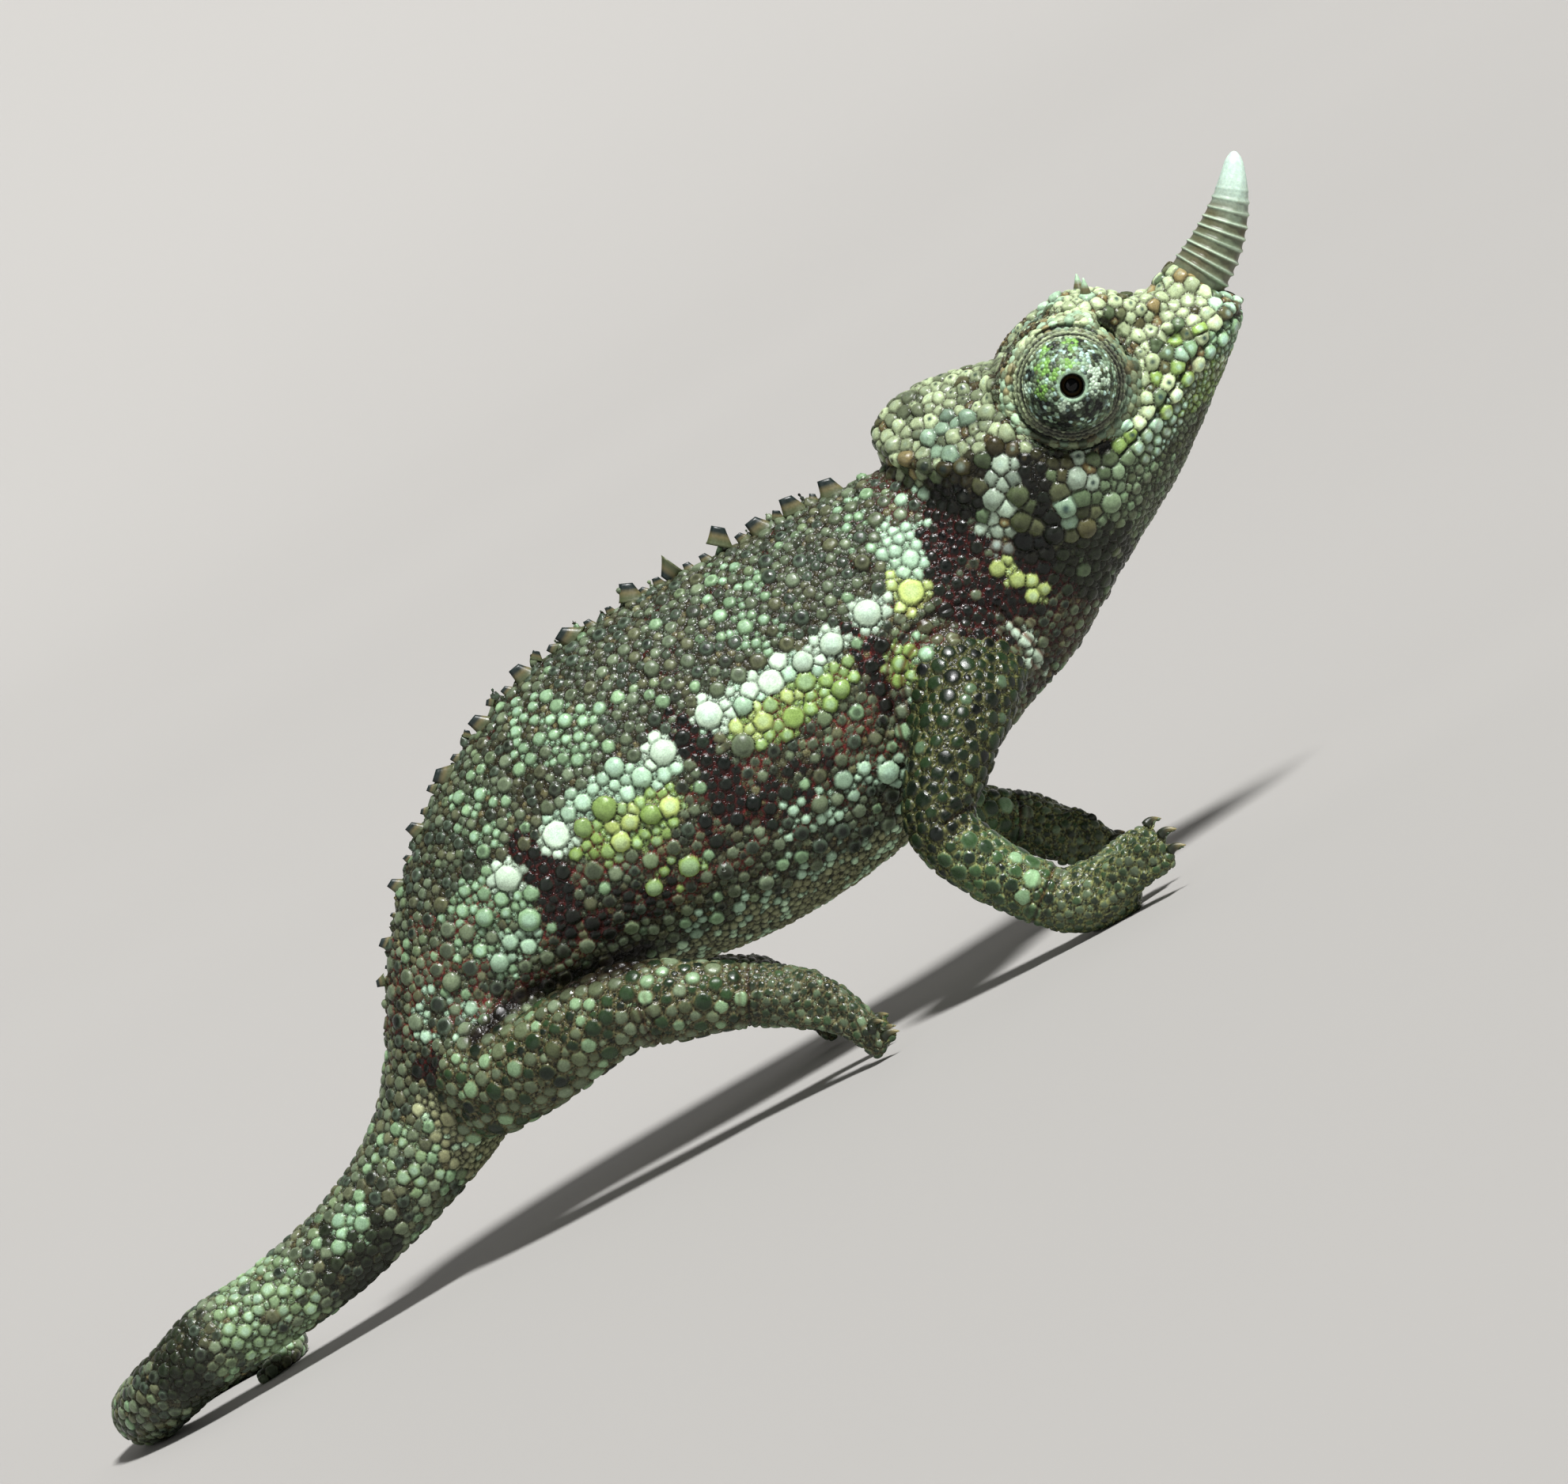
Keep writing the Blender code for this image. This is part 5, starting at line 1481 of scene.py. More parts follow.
@dataclass
class Markings:
    """Colours of the skin, scale by scale.

    Args:
        skin: The skin that is coloured.
        mosaic: Its scales.
    """

    skin: Skin
    mosaic: Mosaic

    def colours(self, points: Array) -> Array:
        """Linear colours of all vertices."""
        mosaic = self.mosaic
        first = np.zeros(len(mosaic.centres), int)
        first[mosaic.owner] = np.arange(len(points))
        zone = self.skin.zones[first]
        scales = Scales(mosaic.centres, mosaic.radii, zone, default_rng(17))
        for step in (self._flank, self._limbs, self._belly, self._skull, self._blots, self._speckle):
            step(scales)
        light = self._unevenness(scales)
        core, ring = scales.core * light, scales.ring * light
        rim, groove, rimmed = self._borders(mosaic.centres, zone, ring)
        owner, inner, margin = mosaic.owner, mosaic.inner, mosaic.margin
        wide = 0.42 * rimmed[owner] - 0.2 * within(zone, Zone.HEAD)[owner]
        colour = blend(core[owner], ring[owner], smoothstep(0.3 + wide, 0.74 + wide, inner))
        outside = np.maximum(smoothstep(0.05, 0.1, margin), 1 - rimmed[owner])
        colour = blend(rim[owner], colour, outside)
        # Painted shade on the scales' sides: each scale darkens towards its border, less where it has a rim.
        edge = (0.5 + 0.5 * smoothstep(0.02, 0.2, margin) + 0.5 * rimmed[owner]).clip(0, 1)
        colour = blend(groove[owner], colour * edge[:, None], smoothstep(0.0, 0.065, margin))
        return np.clip(colour, 0.0, 1.0)

    @staticmethod
    def _flank(s: Scales) -> None:
        """Grey-green scales with some dark, pale and brown ones among them, and duller small ones."""
        olive, grey = Tone.OLIVE, Tone.LICHEN
        ring = blend(olive, grey, np.clip(0.1 + 0.7 * s.tone + 0.4 * s.patch, 0, 1))
        ring = blend(ring, grey * 1.15, s.large * 0.35)
        ring = blend(ring, Tone.SAGE, (s.chance > 0.86) * s.large * 0.85)
        ring = blend(ring, Tone.BARK * 1.3, (s.hue < 0.24) * 0.5)
        core = ring * (0.3 + 0.95 * s.draw.random(s.count))[:, None]
        dark = s.chance < 0.3
        core = blend(core, Tone.COAL, dark * s.large * 0.85)
        ring = blend(ring, Tone.TEAL, dark * s.large * 0.55)
        little = blend(Tone.MOSS * 1.3, grey, s.hue**1.3)
        little = blend(little, Tone.BARK, (s.tone > 0.62) * 0.8)
        little = blend(little, Tone.SAND, (s.chance > 0.9) * 0.8)
        s.ring, s.core = blend(little, ring, s.large), blend(little * 0.75, core, s.large)

    @staticmethod
    def _limbs(s: Scales) -> None:
        """Dark green scales on the limbs, paler ones on thighs, forearms and feet."""
        limb = s.on(Zone.LIMB, Zone.FOOT)
        deep = blend(Tone.LIMB_CORE, Tone.COAL, s.tone)
        share = np.clip(0.1 + s.tone * 0.6 + 0.4 * s.patch, 0, 1)
        band = blend(Tone.MOSS, Tone.OLIVE, share)
        deep = blend(deep, Tone.SAGE * 0.8, (s.chance > 0.93) * 0.7)
        olive = blend(Tone.OLIVE, Tone.LICHEN * 1.1, s.hue)
        s.put(limb, band, deep)
        hind = limb & (s.x < HIND_BEFORE_X) & (s.chance > 0.42)
        s.core[hind] = blend(olive, Tone.SAGE, (s.tone > 0.8) * 0.7)[hind]
        upper = limb & (s.z > ELBOW_Z) & (s.x > HIND_BEFORE_X)
        fore = limb & (s.x > 14) & (s.z < 10)
        s.put(upper, s.ring * 0.5, s.core * 0.5)
        s.put(fore, blend(s.ring, Tone.SAGE, 0.5), s.core * 1.7)
        pale = blend(band, Tone.LICHEN, 0.75)
        s.put(s.on(Zone.FOOT), pale, blend(deep, pale, 0.1 + 0.5 * (s.chance > 0.7)))

    @staticmethod
    def _belly(s: Scales) -> None:
        """Small scales below, pale in their own colour and brightened by painted light from below."""
        belly = s.on(Zone.TRUNK) & (s.z < BELLY_TOP) & (s.x < 24)
        low = blend(Tone.BELLY, Tone.BARK, s.tone * 0.5)
        # The factor 2.1 is painted light from below on the belly's scales.
        low = blend(low, Tone.MINT, (s.chance > 0.82) * 0.6) * 2.1
        s.put(belly, low, low)

    @staticmethod
    def _skull(s: Scales) -> None:
        """The head's ground, olive and brown, and the jaw's, paler towards the lips."""
        top = blend(Tone.OLIVE * 0.9, Tone.SAGE * 0.9, s.tone * 0.5)
        top = blend(top, Tone.BARK * 1.4, (s.hue < 0.45) * 0.6)
        s.put(s.on(Zone.HEAD), top, top * 0.7)
        rise = np.clip((s.z - 0.62 * (s.x - 37.0) - 21.5) / 5.0, 0, 1)
        # The factors 1.2 and 1.4 brighten the jaw: partly its own paler colour, partly painted light on the
        # throat.
        chin = blend(Tone.OLIVE * 1.2, Tone.LICHEN * 1.4, s.tone)
        share = np.clip(rise * 0.4 + (s.chance > 0.8) * 0.4, 0, 1)
        chin = blend(chin, Tone.SAGE, share)
        s.put(s.on(Zone.JAW), chin, chin * 0.85)

    @staticmethod
    def _blots(s: Scales) -> None:
        """The spots and bars of the table."""
        limb = s.on(Zone.LIMB, Zone.FOOT)
        luck = s.draw.random((len(BLOTS), s.count))
        for number, blot in enumerate(BLOTS):
            sure = 1.0 if blot.share > FULL_SHARE else 0.74 + 0.36 * s.large
            hit = ~limb & (luck[number] < blot.weight(s.x, s.z) * sure)
            shade = (0.78 + 0.34 * s.tone[hit])[:, None]
            ring = s.ring[hit] * 0.06 + blot.tone * shade * 0.94
            # Outside the dark blots, each scale's middle pales towards ice white: a painted highlight.
            pale = blend(ring, Tone.ICE, 0.32 * s.tone[hit])
            s.ring[hit], s.core[hit] = ring, ring * 0.55 if blot.tone in DARK_TONES else pale

    @staticmethod
    def _speckle(s: Scales) -> None:
        """Painted highlights on the lips, dark-centred scales and ochre beads on the head."""
        head = s.on(Zone.HEAD)
        near = line_distance(s.x, s.z, MOUTH) < 2.0
        lip = s.on(Zone.HEAD, Zone.JAW) & (s.x > 40) & near & (s.light > 0.06)
        s.ring[lip] = s.ring[lip] * 1.2
        # The lips' scale middles pale towards ice white: painted highlights.
        s.core[lip] = blend(s.ring[lip], Tone.ICE, 0.35 + 0.3 * s.tone[lip])
        top = (s.x > 33) | (s.z > 31)
        dotted = head & (s.chance < 0.14) & (s.radii > 0.34) & (s.light > 0.12) & top
        s.core[dotted] = Tone.TEAL * 1.5
        ochre = head & (s.radii < 0.34) & (s.light > 0.12) & (s.tone < 0.5)
        s.ring[ochre] = Tone.TAN * (0.5 + 0.4 * s.hue[ochre])[:, None]
        s.core[ochre] = Tone.CREAM * 0.7

    @staticmethod
    def _unevenness(s: Scales) -> Array:
        """A factor on each scale's light, lowest on cheek and casque, where some plates are worn dark."""
        head = s.on(Zone.HEAD)
        each = (0.8 + 0.4 * s.draw.random(s.count))[:, None]
        # Pale plates on the cheek are dimmed at random: partly their own greyish tone, partly painted shade below
        # the turret.
        cheek = head & (s.x < 38) & (s.z < 31.5) & (s.light > 0.2)
        each[cheek] = (0.5 + 0.4 * s.draw.random(s.count))[cheek, None]
        casque = head & (s.x < 36) & (s.z > 28.5)
        each[casque] = (0.2 + 0.8 * s.draw.random(s.count) ** 0.9)[casque, None]
        worn = casque & (s.draw.random(s.count) < 0.16)
        s.core[worn] = blend(Tone.BARK * 1.2, Tone.TEAL, s.hue)[worn]
        return each

    def _borders(self, places: Array, zone: Array, ring: Array) -> Arrays:
        """The colours at the scales' borders.

        Args:
            places: Middles of the scales.
            zone: Their kinds of skin.
            ring: Colours of their rings.

        Returns:
            Colours of their rims and of the grooves round them, and how far the rims show.
        """
        x, _, z = places.T
        count = len(places)
        trunk, head = within(zone, Zone.TRUNK), within(zone, Zone.HEAD)
        limb = within(zone, Zone.LIMB, Zone.FOOT)
        light = ring.mean(axis=1)
        pale = light > 0.25
        streak = waves(places * np.array([0.3, 0.3, 1.0]), 2.4, 44)
        red = trunk & (z > 15.5) & (z < 25.5 + 0.1 * x) & (streak > 0.5)
        groove = np.tile(Tone.BARK * 0.3, (count, 1))
        for mask, tone, share in (
            (red, Tone.RUST, 0.7), (trunk & (light < 0.03), Tone.RUST, 0.3),
            (trunk & (x > 22.5), Tone.RUST, 0.3), (limb, Tone.BARK, 0.3), (pale, Tone.OLIVE, 0.4),
            (head, Tone.BARK, 0.22), (head & pale, Tone.TAN, 0.12),
        ):
            groove[mask] = tone * share
        rim = np.tile(Tone.LIMB_RIM.linear, (count, 1))
        rim[limb & (x < HIND_BEFORE_X)] = Tone.SAND * 0.75
        rim[limb & (x > HIND_BEFORE_X) & (z > ELBOW_Z)] *= 0.6
        luck = default_rng(29).random(count)
        body = within(zone, Zone.TRUNK, Zone.TAIL) & ~pale & (luck < 0.55)
        lined = body & (z < 26 + 0.1 * x) & (light > 0.03)
        rim[lined] = blend(Tone.SAND * 0.9, ring, 0.3)[lined]
        return rim, groove, limb * 0.75 + lined * 0.4


def polar_shell(rings: Array, filled: tuple, closed_tip: bool = False) -> Mesh:
    """Skins rings of points, bridged one to the next.

    Args:
        rings: Points by ring and place in the ring.
        filled: Whether the first and the last ring are filled.
        closed_tip: Whether the last ring is drawn together to a point.

    Returns:
        A mesh in body millimetres.
    """
    bm = bmesh.new()
    loops = []
    for ring in rings:
        verts = [bm.verts.new(place) for place in ring]
        loops.append([bm.edges.new((a, b)) for a, b in zip(verts, verts[1:] + verts[:1])])
    for one, two in zip(loops, loops[1:]):
        bmesh.ops.bridge_loops(bm, edges=one + two)
    ends = [loop for loop, wanted in zip((loops[0], loops[-1]), filled) if wanted]
    for loop in ends:
        bmesh.ops.contextual_create(bm, geom=loop)
    if closed_tip:
        tip = {vert for edge in loops[-1] for vert in edge.verts}
        bmesh.ops.pointmerge(bm, verts=list(tip), merge_co=Vector(np.mean(rings[-1], axis=0)))
    bmesh.ops.recalc_face_normals(bm, faces=bm.faces[:])
    return mesh_of(bm, "shell")


@dataclass
class EyeTurret:
    """A scaled conical lid with its folds and a skirt that lies on the head.

    Args:
        skin: The skin that it lies on.
        finish: The skin's material.
        side: RIGHT or LEFT.
        around: Points round a ring.
        levels: Number of rings.
    """

    skin: Skin
    finish: Material
    side: int

    around: int = 264
    levels: int = 112

    SKIRT_LEVELS = 16
    OPENING = 0.86
    LID_EDGE = (3.25, 3.42)
    FOLD_EDGE = (3.78, 3.92)
    REST_DEPTH = 3.4
    PROFILE = (
        (4.04, 6.1), (3.88, 6.38), (3.72, 6.6), (3.57, 6.86), (3.42, 7.02), (3.26, 7.2), (3.0, 7.6), (2.64, 8.12),
        (2.2, 8.6), (1.7, 8.96), (1.3, 9.18), (1.04, 9.26), (0.86, 9.2), (0.78, 8.98), (0.86, 8.6),
    )
    FOLDS = ((4.02, 0.26, 0.09), (3.76, 0.26, 0.08), (3.52, 0.34, 0.09), (3.31, 0.14, 0.06))
    SKIRT = (4.45, 5.3)
    MARKS = tuple(
        (*mark, tone)
        for tone, *marks in (
            (Tone.NIGHT, (-2.1, 2.1, 0.5), (0.2, 2.9, 0.4), (1.9, 2.3, 0.45), (2.5, 0.8, 0.38),
             (1.2, 0.2, 0.3), (-2.5, 0.1, 0.6), (-2.5, -0.7, 0.75), (-1.4, -1.7, 0.6), (0.2, -1.5, 0.45),
             (0.3, -2.2, 0.55), (0.9, -2.2, 0.45), (-1.8, -2.4, 0.65), (-2.7, -1.7, 0.55),
             (2.4, -1.2, 0.3)),
            (Tone.LEAF, (-0.9, 1.9, 0.65), (0.6, 1.6, 0.4), (-1.9, 0.8, 0.5), (1.4, 2.5, 0.45),
             (-0.4, 3.2, 0.4), (-0.6, 1.2, 0.4)),
            (Tone.WHITE, (1.9, -0.4, 0.8), (-1.2, -0.9, 0.35), (-0.4, -1.3, 0.3), (-3, 1.3, 0.4)),
        )
        for mark in marks
    )

    def build(self) -> Object:
        """Makes the turret."""
        mesh = polar_shell(self._rings(), (False, False))
        surface = Surface.of(mesh)
        points = surface.points
        reach = self._reach(points)
        luck = default_rng(4).random(len(points))
        wanted = np.interp(reach, (3.35, 3.7, 4.1), (0.13, 0.17, 0.3)) * (0.78 + 0.44 * luck)
        mosaic = Mosaic.scattered(points, (), ((wanted, 1.0),), seed=6 + self.side)
        mosaic.lay(points, np.full(len(points), 0.1))
        heights = (mosaic.relief(0.5 * mosaic.radii) - 0.03) * smoothstep(1.0, 1.25, reach)
        valley = self._valleys(points)
        heights -= valley * 0.8
        moved = points + surface.normals * heights[:, None]
        move(mesh, self.skin.body.to_frame(moved))
        # Painted shade in the folds' valleys, darker the deeper they are.
        paint(mesh, self._colours(points, mosaic) * (1 - 4.7 * valley.clip(0, 0.2))[:, None])
        weigh(mesh, "small", np.zeros(len(points)))
        word = WORD_OF_SIDE[self.side]
        piece = object_of(f"turret_{word}", mesh, self.finish)
        self._unwrap(mesh, points)
        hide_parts(f"eye_turret_{word}")
        return piece

    @staticmethod
    def _reach(points: Array) -> Array:
        """Distance from the eye's axis."""
        return np.hypot(points[:, 0] - EYE_X, points[:, 2] - EYE_Z)

    def _valleys(self, points: Array) -> Array:
        """Depth of the concentric folds at each point, slightly wavy and uneven."""
        angle = np.arctan2(points[:, 2] - EYE_Z, points[:, 0] - EYE_X)
        reach = self._reach(points) + 0.035 * np.sin(angle * 3 + 1) + 0.02 * np.sin(angle * 7)
        outside = np.abs(points[:, 1]) > 6.0
        total = np.zeros(len(points))
        for number, (radius, depth, width) in enumerate(self.FOLDS):
            uneven = 0.75 + 0.25 * np.sin(angle * (2 + number) + number * 1.7)
            total += depth * uneven * bell(reach - radius, width)
        return total * outside

    def _rings(self) -> Array:
        """Rings of the turret's profile, evenly close, that run out onto the head."""
        angle = np.linspace(0, tau, self.around, endpoint=False)
        edge = np.array([self._edge(turn) for turn in angle])
        edge = self._lowered(edge, span=9, rounds=14)
        rest = [self._depth(turn, radius) or self.REST_DEPTH for turn, radius in zip(angle, edge)]
        rest = self._lowered(np.array(rest), span=5, rounds=8)
        rows = np.asarray(self.PROFILE)
        length = np.concatenate([[0], np.cumsum(np.linalg.norm(np.diff(rows, axis=0), axis=1))])
        steps = np.linspace(0, length[-1], self.levels - self.SKIRT_LEVELS)
        radius, out = np.interp(steps, length, rows[:, 0]), np.interp(steps, length, rows[:, 1])
        share = np.linspace(0, 1, self.SKIRT_LEVELS, endpoint=False)[:, None]
        skirt_radius = edge + (rows[0, 0] - edge) * share
        lift = np.minimum(rest - 0.2, rows[0, 1])
        skirt_out = lift + (rows[0, 1] - lift) * share**0.9
        collar = 0.55 * smoothstep(-0.2, 0.7, np.sin(angle - 0.35)) * np.sin(pi * share) ** 1.5
        skirt_out = skirt_out + collar
        radius = np.concatenate([skirt_radius, np.repeat(radius[:, None], self.around, axis=1)])
        out = np.concatenate([skirt_out, np.repeat(out[:, None], self.around, axis=1)])
        x = EYE_X + radius * np.cos(angle)
        z = EYE_Z + radius * np.sin(angle)
        return np.stack([x, self.side * out, z], axis=-1)

    @staticmethod
    def _lowered(values: Array, span: int, rounds: int) -> Array:
        """The lowest value nearby on a closed ring, smoothed.

        Args:
            values: A value for each point of the ring.
            span: How many points away still count as near.
            rounds: Rounds of smoothing.

        Returns:
            The new values.
        """
        values = np.min([np.roll(values, k) for k in range(-span, span + 1)], axis=0)
        for _ in range(rounds):
            values = (np.roll(values, 1) + 2 * values + np.roll(values, -1)) / 4
        return values

    def _depth(self, turn: float, radius: float) -> float:
        """How far out from the plane of symmetry the head's skin lies at an angle and radius, or 0."""
        x, z = EYE_X + radius * cos(turn), EYE_Z + radius * sin(turn)
        met = self.skin.seen_from_side(x, z, self.side)
        return 0.0 if met is None else abs(met.y)

    def _edge(self, turn: float) -> float:
        """How far from the eye's axis the skirt may reach at one angle and still lie on the head."""
        near, far = self.SKIRT
        fitting = [radius for radius in np.arange(near, far, 0.1) if self._depth(turn, radius) > 4.2]
        return float(max(fitting, default=near))

    def _colours(self, points: Array, mosaic: Mosaic) -> Array:
        """Pale granules with green and black spots round the opening, greyer on the folds."""
        centres = mosaic.centres
        reach = self._reach(centres)
        along, above = centres[:, 0] - EYE_X, centres[:, 2] - EYE_Z
        draw = default_rng(8)
        luck, chance, speck = draw.random((3, len(centres)))
        rough = (waves(centres, 0.7, 12) - 0.5) * 1.5
        core = blend(Tone.OLIVE, Tone.MINT * 0.9, luck**1.2)
        core = blend(core, Tone.ICE, (chance > 0.84) * 0.8)
        lower = 1 - smoothstep(-1.2, 0.2, above - 0.3 * along)
        core = blend(core, Tone.MOSS, (speck < 0.12 + 0.3 * lower) * 0.85)
        for x, z, radius, tone in self.MARKS:
            near = 1 - smoothstep(0.6, 1.4, np.hypot(along - x, above - z) / radius + rough)
            core = blend(core, tone, near * (speck > 0.2) * 0.95)
        # Painted light on the upper side and painted shade on the lower side of the lid's folds and the skirt's
        # beads.
        top_light = smoothstep(-0.6, 1.2, above - 0.3 * along)
        fold = np.clip(0.15 + 0.55 * top_light + 0.3 * (chance > 0.6), 0, 1)
        lid = blend(Tone.MAUVE * 0.8, Tone.CREAM, fold)
        core = blend(core, lid, smoothstep(*self.LID_EDGE, reach))
        bead = blend(Tone.LICHEN, Tone.CREAM, np.clip(luck * 1.6, 0, 1))
        bead = blend(bead, Tone.MINT, (chance > 0.6) * 0.8)
        bead = blend(bead, Tone.TAN * 0.8, (speck < 0.12) * 0.8)
        bead = bead * (0.45 + 0.55 * top_light)[:, None]
        skirt = smoothstep(*self.FOLD_EDGE, reach)
        core = blend(core, bead, skirt)
        core *= (0.75 + 0.5 * draw.random(len(centres)))[:, None]
        groove = blend(core * 0.3, Tone.TAN * 0.25, skirt)
        colour = blend(groove[mosaic.owner], core[mosaic.owner], smoothstep(-0.01, 0.045, mosaic.margin))
        rim = bell(self._reach(points) - 0.98, 0.13) * (np.abs(points[:, 1]) > 9.05)
        colour = blend(colour, Tone.MINT * 0.75, 0.9 * rim)
        # Painted shade inside the opening, round the eyeball.
        inside = (self._reach(points) < self.OPENING) & (np.abs(points[:, 1]) < 9.2)
        return colour * np.where(inside, 0.12, 1.0)[:, None]

    def _unwrap(self, mesh: Mesh, points: Array) -> None:
        """Adds the bake map, which looks at the turret along its axis, spread by depth."""
        level = np.repeat(np.arange(self.levels), self.around)
        radius = 0.48 - 0.42 * level / self.levels
        angle = np.arctan2(points[:, 2] - EYE_Z, points[:, 0] - EYE_X)
        flat = np.stack([0.5 + radius * np.cos(angle), 0.5 + radius * np.sin(angle)], axis=1)
        corners = read(mesh.loops, "vertex_index", kind=np.int32)
        layer = mesh.uv_layers.new(name="OFBake")
        layer.data.foreach_set("uv", flat[corners].astype(np.float32).ravel())


@dataclass
class Eyeball:
    """The eyeball behind a turret's opening.

    Args:
        body: The body's measure.
        finish: Its material.
        side: RIGHT or LEFT.
        radius: Its radius.
        depth: How far out its middle lies.
        pupil: The pupil's radius.
    """

    body: Body
    finish: Material
    side: int

    radius: float = 1.1
    depth: float = 7.6
    pupil: float = 0.58

    RING_WIDTH = 0.16
    RING_COLOUR = (0.05, 0.032, 0.012)

    def build(self) -> Object:
        """Makes the eyeball."""
        bm = bmesh.new()
        bmesh.ops.create_uvsphere(bm, u_segments=40, v_segments=28, radius=self.radius)
        turn = Matrix.Rotation(pi / 2, 4, "X")
        place = Matrix.Translation((EYE_X, self.side * self.depth, EYE_Z))
        bmesh.ops.transform(bm, matrix=place @ turn, verts=bm.verts[:])
        mesh = mesh_of(bm, "eyeball")
        points = Surface.of(mesh).points
        reach = np.hypot(points[:, 0] - EYE_X, points[:, 2] - EYE_Z)
        front = points[:, 1] * self.side > self.depth
        iris = self.pupil + self.RING_WIDTH
        ring = front & (reach > self.pupil) & (reach < iris)
        colours = np.tile(Tone.NIGHT * 0.5, (len(points), 1))
        colours[ring] = self.RING_COLOUR
        colours[front & (reach >= iris)] = Tone.BARK * 0.16
        mesh.transform(self.body.matrix())
        paint(mesh, colours)
        word = WORD_OF_SIDE[self.side]
        piece = object_of(f"eye_{word}", mesh, self.finish)
        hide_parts(f"eyeball_{word}")
        return piece


@dataclass
class Horn:
    """The ringed horn of the snout.

    Args:
        body: The body's measure.
        finish: Its material.
    """

    body: Body
    finish: Material

    # Root, direction and bend in profile, length, radius, number of rings, the mesh's steps along
    # and round, how deep the root is sunk, and the shares of length over which the rings fade.
    x = 49.85
    z = 34.75
    lean = radians(27)
    curl = radians(36)
    length = 9.1
    radius = 2.1
    rings = 12
    steps = 150
    around = 56
    sunk = 0.6
    smooth_from = (0.6, 0.78)

    def build(self) -> Object:
        """Makes the horn."""
        loops, shares = [], []
        place = Vector((self.x, 0, self.z))
        place -= Vector((cos(self.lean), 0, sin(self.lean))) * self.sunk
        draw = default_rng(2)
        wobble = draw.uniform(-0.25, 0.25, self.rings + 3)
        angles = np.linspace(0, tau, self.around, endpoint=False)
        span = self.length + self.sunk
        for k in range(self.steps + 1):
            along = k / self.steps * span - self.sunk
            u = max(along / self.length, 0.0)
            lean = self.lean + self.curl * u
            ahead = Vector((cos(lean), 0, sin(lean)))
            rise = Vector((-ahead.z, 0, ahead.x))
            taper = self.radius * (1 - 0.1 * u - 0.68 * u**1.7)
            taper *= sqrt(max(0.0, 1 - max(0.0, (u - 0.9) / 0.1) ** 2)) if u > 0.9 else 1.0
            phase = u * self.rings
            ringed = 1 - smoothstep(*self.smooth_from, u)
            swell = self._ridge(phase + wobble[int(phase)] * 0.3) * 0.085 * ringed
            grain = 0.018 * np.sin(angles * 5 + phase * 0.7)
            grain += 0.012 * np.sin(angles * 11 + phase * 1.3)
            radius = taper * (0.97 + swell + grain)
            up = np.asarray(rise)[None] * (radius * np.cos(angles))[:, None]
            out = np.array([[0.0, 0.92, 0.0]]) * (radius * np.sin(angles))[:, None]
            loops.append(np.asarray(place)[None] + up + out)
            shares.append(u)
            place = place + ahead * span / self.steps
        mesh = polar_shell(np.asarray(loops), (True, False), closed_tip=True)
        points = Surface.of(mesh).points
        tree = tree_of(loop.mean(axis=0) for loop in loops)
        share = np.array([shares[tree.find(place)[1]] for place in points.tolist()])
        mesh.transform(self.body.matrix())
        paint(mesh, self._colours(share, points))
        piece = object_of("horn", mesh, self.finish)
        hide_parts("rostral_horn")
        return piece

    @staticmethod
    def _ridge(phase: float) -> float:
        """One annulus: a narrow ridge, then a shallow hollow."""
        t = phase % 1.0
        return exp(-(((t - 0.5) / 0.16) ** 2)) - 0.35

    def _colours(self, share: Array, points: Array) -> Array:
        """Brown between pale ridges, paling to a whitish tip."""
        ridge = np.array([self._ridge(u * self.rings) for u in share]) + 0.35
        ridge *= 1 - smoothstep(*self.smooth_from, share)
        patch = waves(points, 3.0, 71)
        grey = Tone.LICHEN * 0.8
        base = blend(Tone.BARK * 1.3, grey, np.clip(patch - 0.1, 0, 1))
        colour = blend(base, Tone.WHITE * 0.9, np.clip(ridge**2 * 0.8, 0, 1))
        return blend(colour, Tone.HORN_TIP, smoothstep(0.5, 0.9, share + 0.08 * patch))


